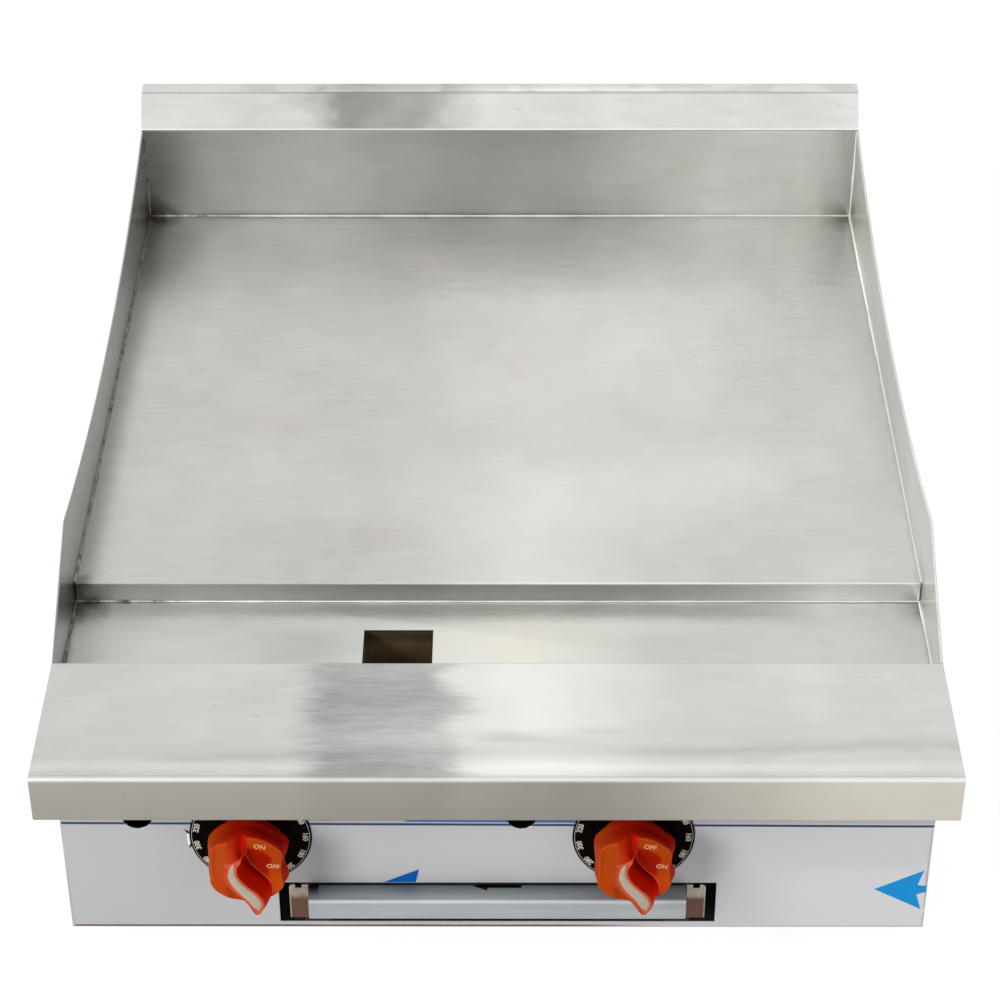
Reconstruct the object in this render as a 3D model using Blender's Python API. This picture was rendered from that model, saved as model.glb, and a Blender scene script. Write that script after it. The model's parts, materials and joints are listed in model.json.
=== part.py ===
"""Two-burner countertop gas griddle: a thick steel plate in a welded splash, a grease
trough and drawer in front of it, and two burners with their valves below.

The frame has +X to the operator's right, +Y away from the operator and +Z up. The origin is
the centre of the object's box on the surface it stands on. Sizes are in metres.
"""

from math import cos, pi, radians, sin

import bmesh
import bpy
from mathutils import Matrix, Vector

# ---------------------------------------------------------------- overall sizes
WIDTH = 0.600            # over the two side splashes
DEPTH = 0.770            # apron front to the back of the flue
FOOT_HEIGHT = 0.021
BODY_HEIGHT = 0.163      # body bottom to the plate's underside
PLATE_T = 0.016

# ---------------------------------------------------------------- sheet and clearances
SHEET = 0.0015           # stainless sheet of the whole casing
BEND_RADIUS = 0.003      # outside of a folded corner
GAP = 0.0003             # between two pieces that touch
SLIDE_CLEARANCE = 0.0015 # beside a piece that slides or turns

# ---------------------------------------------------------------- cooking top
APRON_DEPTH = 0.118
APRON_RISE = 0.010       # apron top above the plate
APRON_FACE = 0.0365      # height of the apron's front face
APRON_RETURN = 0.015
TROUGH_WIDTH = 0.1007    # apron's rear edge to the plate
TROUGH_UNDERLAP = 0.030  # trough floor that runs under the plate
FLUE_DEPTH = 0.036
BACKSPLASH_HEIGHT = 0.082
CAP_RUN = 0.0217         # how far the cap leans back
CAP_RISE = 0.0262
CAP_LAP = 0.012          # rear panel inside the cap
SPLASH_KINK_RUN = 0.0945 # apron's rear edge to the kink in the splash's top edge
SPLASH_KINK_RISE = 0.059 # kink above the plate
SPLASH_SAG_RUN = 0.254   # control point of the sagging top edge, ahead of the backsplash
SPLASH_SAG_RISE = 0.019  # and its height above the plate
SPLASH_STEPS = 14

# ---------------------------------------------------------------- body
BODY_INSET = 0.0045      # body side behind the splash side
PANEL_SETBACK = 0.060    # apron front to the front panel
PANEL_FLANGE = 0.015
SIDE_FLANGE = 0.035
REAR_FLANGE = 0.020
RAIL_LEG = 0.020
RAIL_T = 0.002
SHIELD_T = 0.0012
SHIELD_LEDGE = 0.010
SHIELD_CLEARANCE = 0.0052        # above the drawer's tray
SHIELD_CLEARANCE_FRONT = 0.010   # behind the drain hole
SHIELD_CLEARANCE_REAR = 0.010    # ahead of the gas inlet
PAN_SLOT_LENGTH = 0.075
PAN_SLOT_WIDTH = 0.010
PAN_SLOT_PITCH = 0.045
PAN_SLOT_COUNT = 5
PAN_SLOT_X = 0.200
FLUE_SLOT_LENGTH = 0.060
FLUE_SLOT_HEIGHT = 0.010
FLUE_SLOT_PITCH = 0.080
FLUE_SLOT_COUNT = 6
FLUE_SLOT_RISE = 0.040   # above the plate
AIR_SLOT_RISE = 0.105    # above the body's bottom

# ---------------------------------------------------------------- feet and screws
FOOT_RADIUS = 0.015
FOOT_TAPER = 0.0015
FOOT_INSET_X = 0.020     # from the body's side
FOOT_INSET_FRONT = 0.060 # from the front panel
FOOT_INSET_REAR = 0.053  # from the rear panel
FOOT_RECESS_RADIUS = 0.0070
FOOT_RECESS_DEPTH = 0.010
FOOT_SCREW_RADIUS = 0.0030
FOOT_SCREW_HEAD = 0.0055
FOOT_SCREW_HEAD_T = 0.0035
FOOT_SCREW_LENGTH = 0.024
REAR_SCREW_RADIUS = 0.0020
REAR_SCREW_HEAD = 0.0040
REAR_SCREW_HEAD_TOP = 0.0032
REAR_SCREW_HEAD_T = 0.0014
REAR_SCREW_LENGTH = 0.009
REAR_SCREW_INSET = 0.012 # from the body's side
REAR_SCREW_LOW = 0.020   # above the body's bottom
REAR_SCREW_HIGH = 0.135

# ---------------------------------------------------------------- grease drain and drawer
DRAIN_SIZE = 0.048
DRAIN_X = -0.069
DRAIN_SETBACK = 0.032    # plate front to the drain hole
CHUTE_FLANGE = 0.010
CHUTE_CLEARANCE = 0.004  # above the drawer
OPENING_WIDTH = 0.301
OPENING_HEIGHT = 0.0365
OPENING_SILL = 0.0055    # body bottom to the drawer opening
FRONT_PLATE_RECESS = 0.001
FRONT_PLATE_SIDE_GAP = 0.007     # inside the opening
FRONT_PLATE_SILL_GAP = 0.0025
FRONT_PLATE_HEAD_GAP = 0.001
TAB_WIDTH = 0.0130               # front plate beyond the tray's side
TAB_DROP = 0.0022                # top of a tab below the plate's top
TAB_CORNER = 0.0018              # cut off a tab's top corners
TAB_NOTCH_WIDTH = 0.0045
TAB_NOTCH_DEPTH = 0.003
HANDLE_INSET = 0.0015            # behind the tray's side
HANDLE_REACH = 0.0180
HANDLE_LIP = 0.0165
HANDLE_LEG = 0.0280
TRAY_DEPTH = 0.400
TRAY_DROP = 0.0032               # front plate's top edge to the tray's rim
TRAY_T = 0.0012
RUNNER_SHELF = 0.017
RUNNER_DROP = 0.0002             # tray's rim to the runner's top edge
RUNNER_T = 0.0012

# ---------------------------------------------------------------- gas train
KNOB_X = {"left": -0.167, "right": 0.0925}
VALVE_HEIGHT = 0.0855    # body bottom to the valve and burner axis
LIGHT_HOLE_RADIUS = 0.010
LIGHT_HOLE_DX = -0.0760
LIGHT_HOLE_RISE = 0.0165
BONNET_CLEARANCE = 0.0045
BONNET_RADIUS = 0.0095
BONNET_LENGTH = 0.007
VALVE_RADIUS = 0.012
VALVE_LENGTH = 0.054
NIPPLE_RADIUS = 0.0065
OUTLET_RADIUS = 0.0075
OUTLET_LENGTH = 0.010
ORIFICE_HEX = 0.0065
ORIFICE_HEX_LENGTH = 0.010
ORIFICE_NOSE = 0.0042
ORIFICE_NOSE_LENGTH = 0.010
STEM_RADIUS = 0.0040
STEM_CLEARANCE = 0.0035  # in the front panel and the dial
MANIFOLD_DROP = 0.030    # below the valve axis
MANIFOLD_RADIUS = 0.01065
MANIFOLD_BORE = 0.0079
MANIFOLD_OVERHANG = 0.048        # beyond the left valve
PLUG_RADIUS = 0.0125
PLUG_LENGTH = 0.010
SUPPLY_INSET = 0.017     # body's inside to the supply pipe's axis
SUPPLY_RADIUS = 0.0086
SUPPLY_BORE = 0.0063
ELBOW_RADIUS = 0.0130
ELBOW_BEND = 0.025
ELBOW_STEPS = 6
INLET_RADIUS = 0.0135
INLET_BORE = 0.0075
INLET_LENGTH = 0.039
BRACKET_X = 0.200
BRACKET_WIDTH = 0.024
BRACKET_FOOT = 0.015

# ---------------------------------------------------------------- burners
BURNER_X = {"left": -0.150, "right": 0.150}
LEG_PITCH = 0.150
LEG_RADIUS = 0.019
CROSS_RADIUS = 0.0185
MIXER_RADIUS = 0.016
BURNER_T = 0.0018
CROSS_INSET = 0.050      # plate front to the cross tube's axis
LEG_INSET = 0.050        # leg end to the plate's rear edge
SHUTTER_T = 0.0012
SHUTTER_SKIRT = 0.014
SHUTTER_AHEAD = 0.004    # orifice hexagon to the shutter
WINDOW_RADIUS = 0.0030
WINDOW_MARGIN = 0.0004   # inside the mixer's bore
WINDOW_COUNT = 4
WINDOW_TURN = 0.4        # share of a pitch by which the ring is turned
NOSE_CLEARANCE = 0.0016  # round the orifice's nose
BURNER_RAIL_INSET_FRONT = 0.106  # plate front to the front burner rail
BURNER_RAIL_INSET_REAR = 0.100   # plate rear to the rear burner rail
BURNER_RAIL_FLANGE = 0.015

# ---------------------------------------------------------------- dials and knobs
DIAL_RADIUS = 0.0415
DIAL_T = 0.001
KNOB_STANDOFF = 0.0017   # dial to the knob's rear edge
KNOB_HUB_RADIUS = 0.0215
KNOB_REAR_RADIUS = 0.0276
KNOB_REAR_DEPTH = 0.013  # front panel to the rear of the knob's grip
KNOB_WAIST_RADIUS = 0.0264
KNOB_RIM_RADIUS = 0.0284
KNOB_RIM_DEPTH = 0.033   # front panel to the rim of the knob's face
KNOB_DISH_RADIUS = 0.0120
KNOB_DISH_DEPTH = 0.023  # front panel to the floor of the dished face
KNOB_WALL = 0.0030
KNOB_CAVITY_DEPTH = 0.012
KNOB_BOSS_RADIUS = 0.0085
STEM_GRIP = 0.0135       # how far the stem enters the knob
RIDGE_DEPTH = 0.0452     # front panel to the top of the pointer ridge
RIDGE_FOOT_DEPTH = 0.020
RIDGE_HALF_WIDTH = 0.0044
RIDGE_TIP_HALF_WIDTH = 0.0005
RIDGE_TAPER = 0.011      # length over which the tip widens
RIDGE_TOP_R = 0.0150     # where the flat of the ridge starts, above the axis
RIDGE_RIM_R = 0.0276     # where its ramp meets the rim
RIDGE_TIP_R = -0.0327    # the pointer's tip, below the axis
RIDGE_SWING = 0.0084     # sideways swing of the S-shaped ridge
RIDGE_WAVE = 0.030       # half a wave of the S
RIDGE_CENTRE = -0.0105
RIDGE_STEPS = 14
INLAY_T = 0.0008
INLAY_HALF_WIDTH = 0.0030
INLAY_END_HALF_WIDTH = 0.0004
INLAY_TAPER = 0.0053
INLAY_TOP_R = 0.0140
INLAY_TIP_R = -0.0272

# ---------------------------------------------------------------- facets
ROUND_FINE = 40
ROUND = 24
ROUND_SMALL = 12
HEXAGON = 6
BEND_STEPS = 4

# ---------------------------------------------------------------- derived places
FRONT_Y = -DEPTH / 2
BACK_Y = DEPTH / 2
BODY_Z = FOOT_HEIGHT
PLATE_Z = BODY_Z + BODY_HEIGHT
PLATE_TOP_Z = PLATE_Z + PLATE_T
SPLASH_X = WIDTH / 2
INSIDE_X = SPLASH_X - SHEET
BODY_X = SPLASH_X - BODY_INSET
BODY_INSIDE_X = BODY_X - SHEET
APRON_BACK_Y = FRONT_Y + APRON_DEPTH
APRON_TOP_Z = PLATE_TOP_Z + APRON_RISE
APRON_LOW_Z = APRON_TOP_Z - APRON_FACE
PLATE_FRONT_Y = APRON_BACK_Y + TROUGH_WIDTH
BACKSPLASH_Y = BACK_Y - FLUE_DEPTH
PLATE_BACK_Y = BACKSPLASH_Y - GAP
CAP_Z = PLATE_TOP_Z + BACKSPLASH_HEIGHT
TOP_Z = CAP_Z + CAP_RISE
REAR_OUTER_Y = BACK_Y - SHEET - GAP
REAR_INNER_Y = REAR_OUTER_Y - SHEET
TROUGH_TOP_Z = PLATE_Z - GAP
TROUGH_LOW_Z = TROUGH_TOP_Z - SHEET
PANEL_Y = FRONT_Y + PANEL_SETBACK
PANEL_BACK_Y = PANEL_Y + SHEET
SIDE_FRONT_Y = PANEL_BACK_Y + GAP
SIDE_BACK_Y = REAR_INNER_Y - GAP
SIDE_TOP_Z = TROUGH_LOW_Z - GAP
PAN_Z = BODY_Z + SHEET + GAP
PAN_TOP_Z = PAN_Z + SHEET
FOOT_X = BODY_X - FOOT_INSET_X
FOOT_Y = {"front": PANEL_Y + FOOT_INSET_FRONT, "rear": REAR_OUTER_Y - FOOT_INSET_REAR}
REAR_SCREW_X = BODY_X - REAR_SCREW_INSET
REAR_SCREW_Z = {"low": BODY_Z + REAR_SCREW_LOW, "high": BODY_Z + REAR_SCREW_HIGH}
DRAIN_BACK_Y = PLATE_FRONT_Y - DRAIN_SETBACK
DRAIN_Y = DRAIN_BACK_Y - DRAIN_SIZE / 2
OPENING_Z = BODY_Z + OPENING_SILL
FRONT_PLATE_Y = PANEL_Y + FRONT_PLATE_RECESS
FRONT_PLATE_Z = OPENING_Z + FRONT_PLATE_SILL_GAP
FRONT_PLATE_TOP_Z = OPENING_Z + OPENING_HEIGHT - FRONT_PLATE_HEAD_GAP
FRONT_PLATE_X = OPENING_WIDTH / 2 - FRONT_PLATE_SIDE_GAP
TRAY_X = FRONT_PLATE_X - TAB_WIDTH
TRAY_FRONT_Y = FRONT_PLATE_Y + SHEET + GAP
TRAY_BACK_Y = TRAY_FRONT_Y + TRAY_DEPTH
TRAY_Z = FRONT_PLATE_Z + GAP
TRAY_TOP_Z = FRONT_PLATE_TOP_Z - TRAY_DROP
SHIELD_Z = TRAY_TOP_Z + SHIELD_CLEARANCE
SHIELD_TOP_Z = SHIELD_Z + SHIELD_T
AXIS_Z = BODY_Z + VALVE_HEIGHT
BONNET_Y = PANEL_BACK_Y + BONNET_CLEARANCE
VALVE_Y = BONNET_Y + BONNET_LENGTH
VALVE_END_Y = VALVE_Y + VALVE_LENGTH
OUTLET_END_Y = VALVE_END_Y + OUTLET_LENGTH
ORIFICE_Y = OUTLET_END_Y + GAP
ORIFICE_HEX_END_Y = ORIFICE_Y + ORIFICE_HEX_LENGTH
SHUTTER_Y = ORIFICE_HEX_END_Y + SHUTTER_AHEAD
MIXER_Y = SHUTTER_Y + SHUTTER_T + GAP
MANIFOLD_Y = VALVE_Y + VALVE_LENGTH / 2
MANIFOLD_Z = AXIS_Z - MANIFOLD_DROP
MANIFOLD_TOP_Z = MANIFOLD_Z + MANIFOLD_RADIUS
MANIFOLD_LEFT_X = KNOB_X["left"] - MANIFOLD_OVERHANG
SUPPLY_X = BODY_INSIDE_X - SUPPLY_INSET
CROSS_Y = PLATE_FRONT_Y + CROSS_INSET
LEG_END_Y = PLATE_BACK_Y - LEG_INSET
ELBOW_X = SUPPLY_X - ELBOW_BEND
ELBOW_Y = MANIFOLD_Y + ELBOW_BEND
INLET_END_Y = BACK_Y - GAP
INLET_Y = INLET_END_Y - INLET_LENGTH
BURNER_LOW_Z = AXIS_Z - LEG_RADIUS
STEM_HOLE_RADIUS = STEM_RADIUS + STEM_CLEARANCE
NOSE_HOLE_RADIUS = ORIFICE_NOSE + NOSE_CLEARANCE
WINDOW_CIRCLE = MIXER_RADIUS - BURNER_T - WINDOW_MARGIN - WINDOW_RADIUS

# Turns that lay a shape built along its own Z on another axis.
ALONG_X = (0.0, pi / 2, 0.0)
ALONG_Y = (-pi / 2, 0.0, 0.0)
TOWARDS_OPERATOR = (pi / 2, 0.0, 0.0)


# ================================================================ materials
def material(name, colour, roughness, metallic):
    """A Principled material with the finish of one kind of piece."""
    made = bpy.data.materials.new(name)
    made.use_nodes = True
    shader = made.node_tree.nodes["Principled BSDF"]
    shader.inputs["Base Color"].default_value = (*colour, 1.0)
    shader.inputs["Roughness"].default_value = roughness
    shader.inputs["Metallic"].default_value = metallic
    return made


def finishes():
    """Every finish of the griddle by name."""
    return {
        "plate": material("plate_steel", (0.60, 0.60, 0.58), 0.38, 1.0),
        "casing": material("casing_steel", (0.68, 0.68, 0.66), 0.30, 1.0),
        "inner": material("inner_steel", (0.50, 0.50, 0.49), 0.45, 1.0),
        "burner": material("burner_steel", (0.30, 0.29, 0.28), 0.55, 1.0),
        "pipe": material("pipe_steel", (0.22, 0.22, 0.22), 0.50, 1.0),
        "brass": material("brass", (0.72, 0.55, 0.25), 0.35, 1.0),
        "fastener": material("zinc_steel", (0.62, 0.63, 0.65), 0.35, 1.0),
        "knob": material("knob_plastic", (0.75, 0.12, 0.02), 0.30, 0.0),
        "inlay": material("inlay_plastic", (0.78, 0.75, 0.66), 0.45, 0.0),
        "dial": material("dial_black", (0.015, 0.014, 0.016), 0.40, 0.0),
        "foot": material("foot_rubber", (0.03, 0.03, 0.03), 0.75, 0.0),
    }


# ================================================================ shape helpers
def add_object(name, bm, finish=None, location=(0, 0, 0), rotation=(0, 0, 0)):
    """Close the bmesh into a named object. Without a finish it is a cutter."""
    bmesh.ops.remove_doubles(bm, verts=bm.verts, dist=1e-6)
    bmesh.ops.recalc_face_normals(bm, faces=bm.faces)
    mesh = bpy.data.meshes.new(name)
    bm.to_mesh(mesh)
    bm.free()
    made = bpy.data.objects.new(name, mesh)
    bpy.context.scene.collection.objects.link(made)
    made.location = location
    made.rotation_euler = rotation
    if finish is None:
        made.hide_render = True
        made.display_type = "WIRE"
    else:
        mesh.materials.append(finish)
    return made


def round_off(made, angle=30):
    """Smooth shading over a turned surface, with its real edges kept sharp."""
    made.data.shade_smooth()
    made.data.set_sharp_from_angle(angle=radians(angle))
    return made


def prism(name, outline, axis, low, high, finish=None, location=(0, 0, 0)):
    """Extrude a flat outline along X, Y or Z, from low to high.

    The outline's pairs are (y, z) along X, (x, z) along Y and (x, y) along Z.
    """
    place = {
        "X": lambda a, b: (low, a, b),
        "Y": lambda a, b: (a, low, b),
        "Z": lambda a, b: (a, b, low),
    }[axis]
    way = {"X": (1, 0, 0), "Y": (0, 1, 0), "Z": (0, 0, 1)}[axis]
    bm = bmesh.new()
    face = bm.faces.new([bm.verts.new(place(a, b)) for a, b in outline])
    side = bmesh.ops.extrude_face_region(bm, geom=[face])
    moved = [item for item in side["geom"] if isinstance(item, bmesh.types.BMVert)]
    bmesh.ops.translate(bm, verts=moved, vec=Vector(way) * (high - low))
    return add_object(name, bm, finish, location)


def rectangle(low_a, high_a, low_b, high_b):
    """The four corners of an outline's rectangle."""
    return [(low_a, low_b), (high_a, low_b), (high_a, high_b), (low_a, high_b)]


def block(name, x, y, z, finish=None, location=(0, 0, 0)):
    """A box from three (low, high) pairs."""
    return prism(name, rectangle(*x, *y), "Z", *z, finish, location)


def bent_path(corners, radius, steps=BEND_STEPS):
    """An open path through the corners, with an arc of the radius at each inner one."""
    path = [Vector(corners[0])]
    for before, corner, after in zip(corners, corners[1:], corners[2:]):
        corner = Vector(corner)
        back = (Vector(before) - corner).normalized()
        ahead = (Vector(after) - corner).normalized()
        half = back.angle(ahead) / 2
        reach = radius * cos(half) / sin(half)
        centre = corner + (back + ahead).normalized() * (radius / sin(half))
        start = corner + back * reach - centre
        end = corner + ahead * reach - centre
        turn = start.angle_signed(end)
        for step in range(steps + 1):
            angle = -turn * step / steps
            path.append(centre + Matrix.Rotation(angle, 2) @ start)
    path.append(Vector(corners[-1]))
    return path


def sheet_section(path, thickness):
    """The outline of a sheet whose outer skin is the path and whose metal is on its left."""
    inner = []
    for index, point in enumerate(path):
        ways = []
        if index > 0:
            ways.append((point - path[index - 1]).normalized())
        if index < len(path) - 1:
            ways.append((path[index + 1] - point).normalized())
        normals = [Vector((-way.y, way.x)) for way in ways]
        mitre = sum(normals, Vector((0, 0))).normalized()
        inner.append(point + mitre * (thickness / mitre.dot(normals[0])))
    return [tuple(point) for point in path] + [tuple(point) for point in reversed(inner)]


def folded(name, corners, axis, low, high, finish, thickness=SHEET, radius=BEND_RADIUS):
    """A sheet folded along straight bends, extruded along its axis."""
    outline = sheet_section(bent_path(corners, radius), thickness)
    return prism(name, outline, axis, low, high, finish)


def turned(name, profile, finish=None, segments=ROUND, location=(0, 0, 0),
           rotation=(0, 0, 0), closed=False):
    """Spin a profile of (radius, height) pairs about the object's own Z."""
    bm = bmesh.new()
    verts = [bm.verts.new((radius, 0, height)) for radius, height in profile]
    edges = [bm.edges.new(pair) for pair in zip(verts, verts[1:])]
    if closed:
        edges.append(bm.edges.new((verts[-1], verts[0])))
    bmesh.ops.spin(bm, geom=verts + edges, cent=(0, 0, 0), axis=(0, 0, 1),
                   angle=2 * pi, steps=segments, use_merge=True)
    made = add_object(name, bm, finish, location, rotation)
    return round_off(made)


def rod(name, radius, length, finish=None, segments=ROUND, location=(0, 0, 0),
        rotation=(0, 0, 0)):
    """A solid cylinder that starts at its location."""
    profile = [(0, 0), (radius, 0), (radius, length), (0, length)]
    return turned(name, profile, finish, segments, location, rotation)


def tube(name, radius, bore, length, finish=None, segments=ROUND, location=(0, 0, 0),
         rotation=(0, 0, 0)):
    """A pipe with both ends open, starting at its location."""
    profile = [(bore, 0), (radius, 0), (radius, length), (bore, length)]
    return turned(name, profile, finish, segments, location, rotation, closed=True)


def combine(target, other, operation):
    """Add a live Boolean that cuts the other shape away from the target or joins it."""
    modifier = target.modifiers.new(other.name, "BOOLEAN")
    modifier.operation = operation
    modifier.solver = "EXACT"
    modifier.object = other
    return target


def cut(target, *cutters):
    for cutter in cutters:
        combine(target, cutter, "DIFFERENCE")
    return target


def join(target, *others):
    for other in others:
        combine(target, other, "UNION")
    return target


# ================================================================ cooking top
def splash_top_edge():
    """Points from the kink to the backsplash: one quadratic curve that sags between them."""
    start = Vector((APRON_BACK_Y + SPLASH_KINK_RUN, PLATE_TOP_Z + SPLASH_KINK_RISE))
    pull = Vector((BACKSPLASH_Y - SPLASH_SAG_RUN, PLATE_TOP_Z + SPLASH_SAG_RISE))
    end = Vector((BACKSPLASH_Y, CAP_Z - GAP))
    points = []
    for step in range(SPLASH_STEPS + 1):
        t = step / SPLASH_STEPS
        points.append(start * (1 - t) ** 2 + pull * 2 * t * (1 - t) + end * t ** 2)
    return points


def make_cooking_top(finish):
    prism("griddle_plate", rectangle(PLATE_FRONT_Y, PLATE_BACK_Y, PLATE_Z, PLATE_TOP_Z),
          "X", -INSIDE_X + GAP, INSIDE_X - GAP, finish["plate"])

    low_z = APRON_LOW_Z
    outline = [(APRON_BACK_Y + GAP, low_z), (REAR_OUTER_Y, low_z), (REAR_OUTER_Y, CAP_Z - GAP)]
    outline += [tuple(point) for point in reversed(splash_top_edge())]
    outline.append((APRON_BACK_Y + GAP, APRON_TOP_Z))
    prism("side_splash_left", outline, "X", -SPLASH_X, -INSIDE_X, finish["casing"])
    prism("side_splash_right", outline, "X", INSIDE_X, SPLASH_X, finish["casing"])

    block("backsplash", (-INSIDE_X + GAP, INSIDE_X - GAP), (BACKSPLASH_Y, BACKSPLASH_Y + SHEET),
          (PLATE_Z, CAP_Z - GAP), finish["casing"])
    make_flue_cap(finish["casing"])
    make_trough(finish["casing"])
    make_apron(finish["casing"])


def make_flue_cap(finish):
    """A hood over the flue: leaning front, flat top, upright back and two closed ends."""
    skin = bent_path([(BACKSPLASH_Y, CAP_Z), (BACKSPLASH_Y + CAP_RUN, TOP_Z), (BACK_Y, TOP_Z),
                      (BACK_Y, CAP_Z)], BEND_RADIUS)
    cap = prism("flue_cap", [tuple(point) for point in skin], "X", -SPLASH_X, SPLASH_X, finish)
    section = sheet_section(list(reversed(skin)), SHEET)
    inner = section[len(skin):]
    mouth = CAP_Z - SHEET
    hollow = [(inner[0][0], mouth)] + inner + [(inner[-1][0], mouth)]
    cutter = prism("flue_cap_hollow", hollow, "X", -INSIDE_X, INSIDE_X)
    cut(cap, cutter)


def make_trough(finish):
    """Grease trough: a floor that runs under the plate and an upright behind the apron."""
    wall_y = APRON_BACK_Y - SHEET
    corners = [(wall_y, APRON_TOP_Z - SHEET - GAP), (wall_y, TROUGH_LOW_Z),
               (PLATE_FRONT_Y + TROUGH_UNDERLAP, TROUGH_LOW_Z)]
    trough = folded("drip_trough", corners, "X", -INSIDE_X + GAP, INSIDE_X - GAP, finish)
    half = DRAIN_SIZE / 2
    cut(trough, block("drain_hole", (DRAIN_X - half, DRAIN_X + half),
                      (DRAIN_BACK_Y - DRAIN_SIZE, DRAIN_BACK_Y),
                      (TROUGH_LOW_Z - SHEET, TROUGH_TOP_Z + SHEET)))


def make_apron(finish):
    """Front apron: top, face and bottom return folded from one sheet, with closed ends."""
    corners = [(APRON_BACK_Y, APRON_TOP_Z), (FRONT_Y, APRON_TOP_Z), (FRONT_Y, APRON_LOW_Z),
               (FRONT_Y + APRON_RETURN, APRON_LOW_Z)]
    apron = folded("apron", corners, "X", -SPLASH_X, SPLASH_X, finish)
    outer = bent_path(corners[:3] + [(APRON_BACK_Y, APRON_LOW_Z)], BEND_RADIUS)
    shape = [tuple(point) for point in outer]
    for side in (-1, 1):
        low, high = sorted((side * SPLASH_X, side * INSIDE_X))
        join(apron, prism("apron_end", shape, "X", low, high))


# ================================================================ body
def make_body(finish):
    make_front_panel(finish["casing"])
    make_side_panels(finish["casing"])
    make_rear_panel(finish["casing"])
    make_base_pan(finish["inner"])
    make_plate_rails(finish["inner"])
    make_heat_shield(finish["inner"])


def make_front_panel(finish):
    top_z = APRON_TOP_Z - SHEET - GAP
    corners = [(PANEL_Y + PANEL_FLANGE, top_z), (PANEL_Y, top_z), (PANEL_Y, BODY_Z)]
    panel = folded("front_panel", corners, "X", -BODY_X, BODY_X, finish)
    half = OPENING_WIDTH / 2
    through_y = (PANEL_Y - SHEET, PANEL_BACK_Y + SHEET)
    cut(panel, block("drawer_opening", (-half, half), through_y,
                     (OPENING_Z, OPENING_Z + OPENING_HEIGHT)))
    for side, knob_x in KNOB_X.items():
        stem = rod("stem_hole_" + side, STEM_HOLE_RADIUS, 3 * SHEET, segments=ROUND_SMALL,
                   location=(knob_x, PANEL_Y - SHEET, AXIS_Z), rotation=ALONG_Y)
        light = rod("light_hole_" + side, LIGHT_HOLE_RADIUS, 3 * SHEET,
                    location=(knob_x + LIGHT_HOLE_DX, PANEL_Y - SHEET, AXIS_Z + LIGHT_HOLE_RISE),
                    rotation=ALONG_Y)
        cut(panel, stem, light)


def make_side_panels(finish):
    """Body sides with a bottom flange for the feet and a rear flange for the rear panel."""
    for name, side in (("left", -1), ("right", 1)):
        wall = [(side * BODY_X, SIDE_TOP_Z), (side * BODY_X, BODY_Z),
                (side * (BODY_X - SIDE_FLANGE), BODY_Z)]
        if side > 0:
            wall.reverse()
        panel = folded("side_panel_" + name, wall, "Y", SIDE_FRONT_Y, SIDE_BACK_Y, finish)
        low, high = sorted((side * (BODY_X - SHEET / 2), side * (BODY_X - REAR_FLANGE)))
        flange = block("rear_flange_" + name, (low, high), (SIDE_BACK_Y - SHEET, SIDE_BACK_Y),
                       (BODY_Z + SHEET / 2, SIDE_TOP_Z))
        join(panel, flange)
        for end, foot_y in FOOT_Y.items():
            cut(panel, rod(f"flange_hole_{name}_{end}", FOOT_SCREW_RADIUS + GAP, 3 * SHEET,
                           segments=ROUND_SMALL,
                           location=(side * FOOT_X, foot_y, BODY_Z - SHEET)))
        for row, screw_z in REAR_SCREW_Z.items():
            cut(panel, rear_screw_hole(f"flange_screw_{name}_{row}", side, screw_z))
        if side * SUPPLY_X > 0:
            cut(panel, inlet_hole("flange_inlet"))


def inlet_hole(name):
    return rod(name, INLET_RADIUS + SLIDE_CLEARANCE, 6 * SHEET,
               location=(SUPPLY_X, REAR_OUTER_Y + SHEET, MANIFOLD_Z), rotation=TOWARDS_OPERATOR)


def rear_screw_hole(name, side, screw_z):
    return rod(name, REAR_SCREW_RADIUS + GAP, 6 * SHEET, segments=ROUND_SMALL,
               location=(side * REAR_SCREW_X, REAR_OUTER_Y + SHEET, screw_z),
               rotation=TOWARDS_OPERATOR)


def make_rear_panel(finish):
    """Rear panel up into the cap, with flue slots above the plate and the gas inlet's hole."""
    wide = INSIDE_X - GAP
    shoulder = APRON_LOW_Z
    top = CAP_Z + CAP_LAP
    outline = [(-BODY_X, BODY_Z), (BODY_X, BODY_Z), (BODY_X, shoulder), (wide, shoulder),
               (wide, top), (-wide, top), (-wide, shoulder), (-BODY_X, shoulder)]
    panel = prism("rear_panel", outline, "Y", REAR_INNER_Y, REAR_OUTER_Y, finish)
    through_y = (REAR_INNER_Y - SHEET, REAR_OUTER_Y + SHEET)
    rows = {"flue": PLATE_TOP_Z + FLUE_SLOT_RISE, "air": BODY_Z + AIR_SLOT_RISE}
    for row, slot_z in rows.items():
        for index in range(FLUE_SLOT_COUNT):
            slot_x = (index - (FLUE_SLOT_COUNT - 1) / 2) * FLUE_SLOT_PITCH
            half = FLUE_SLOT_LENGTH / 2
            cut(panel, block(f"{row}_slot_{index}", (slot_x - half, slot_x + half), through_y,
                             (slot_z, slot_z + FLUE_SLOT_HEIGHT)))
    cut(panel, inlet_hole("inlet_hole"))
    for name, side in (("left", -1), ("right", 1)):
        for row, screw_z in REAR_SCREW_Z.items():
            cut(panel, rear_screw_hole(f"panel_screw_{name}_{row}", side, screw_z))


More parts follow.
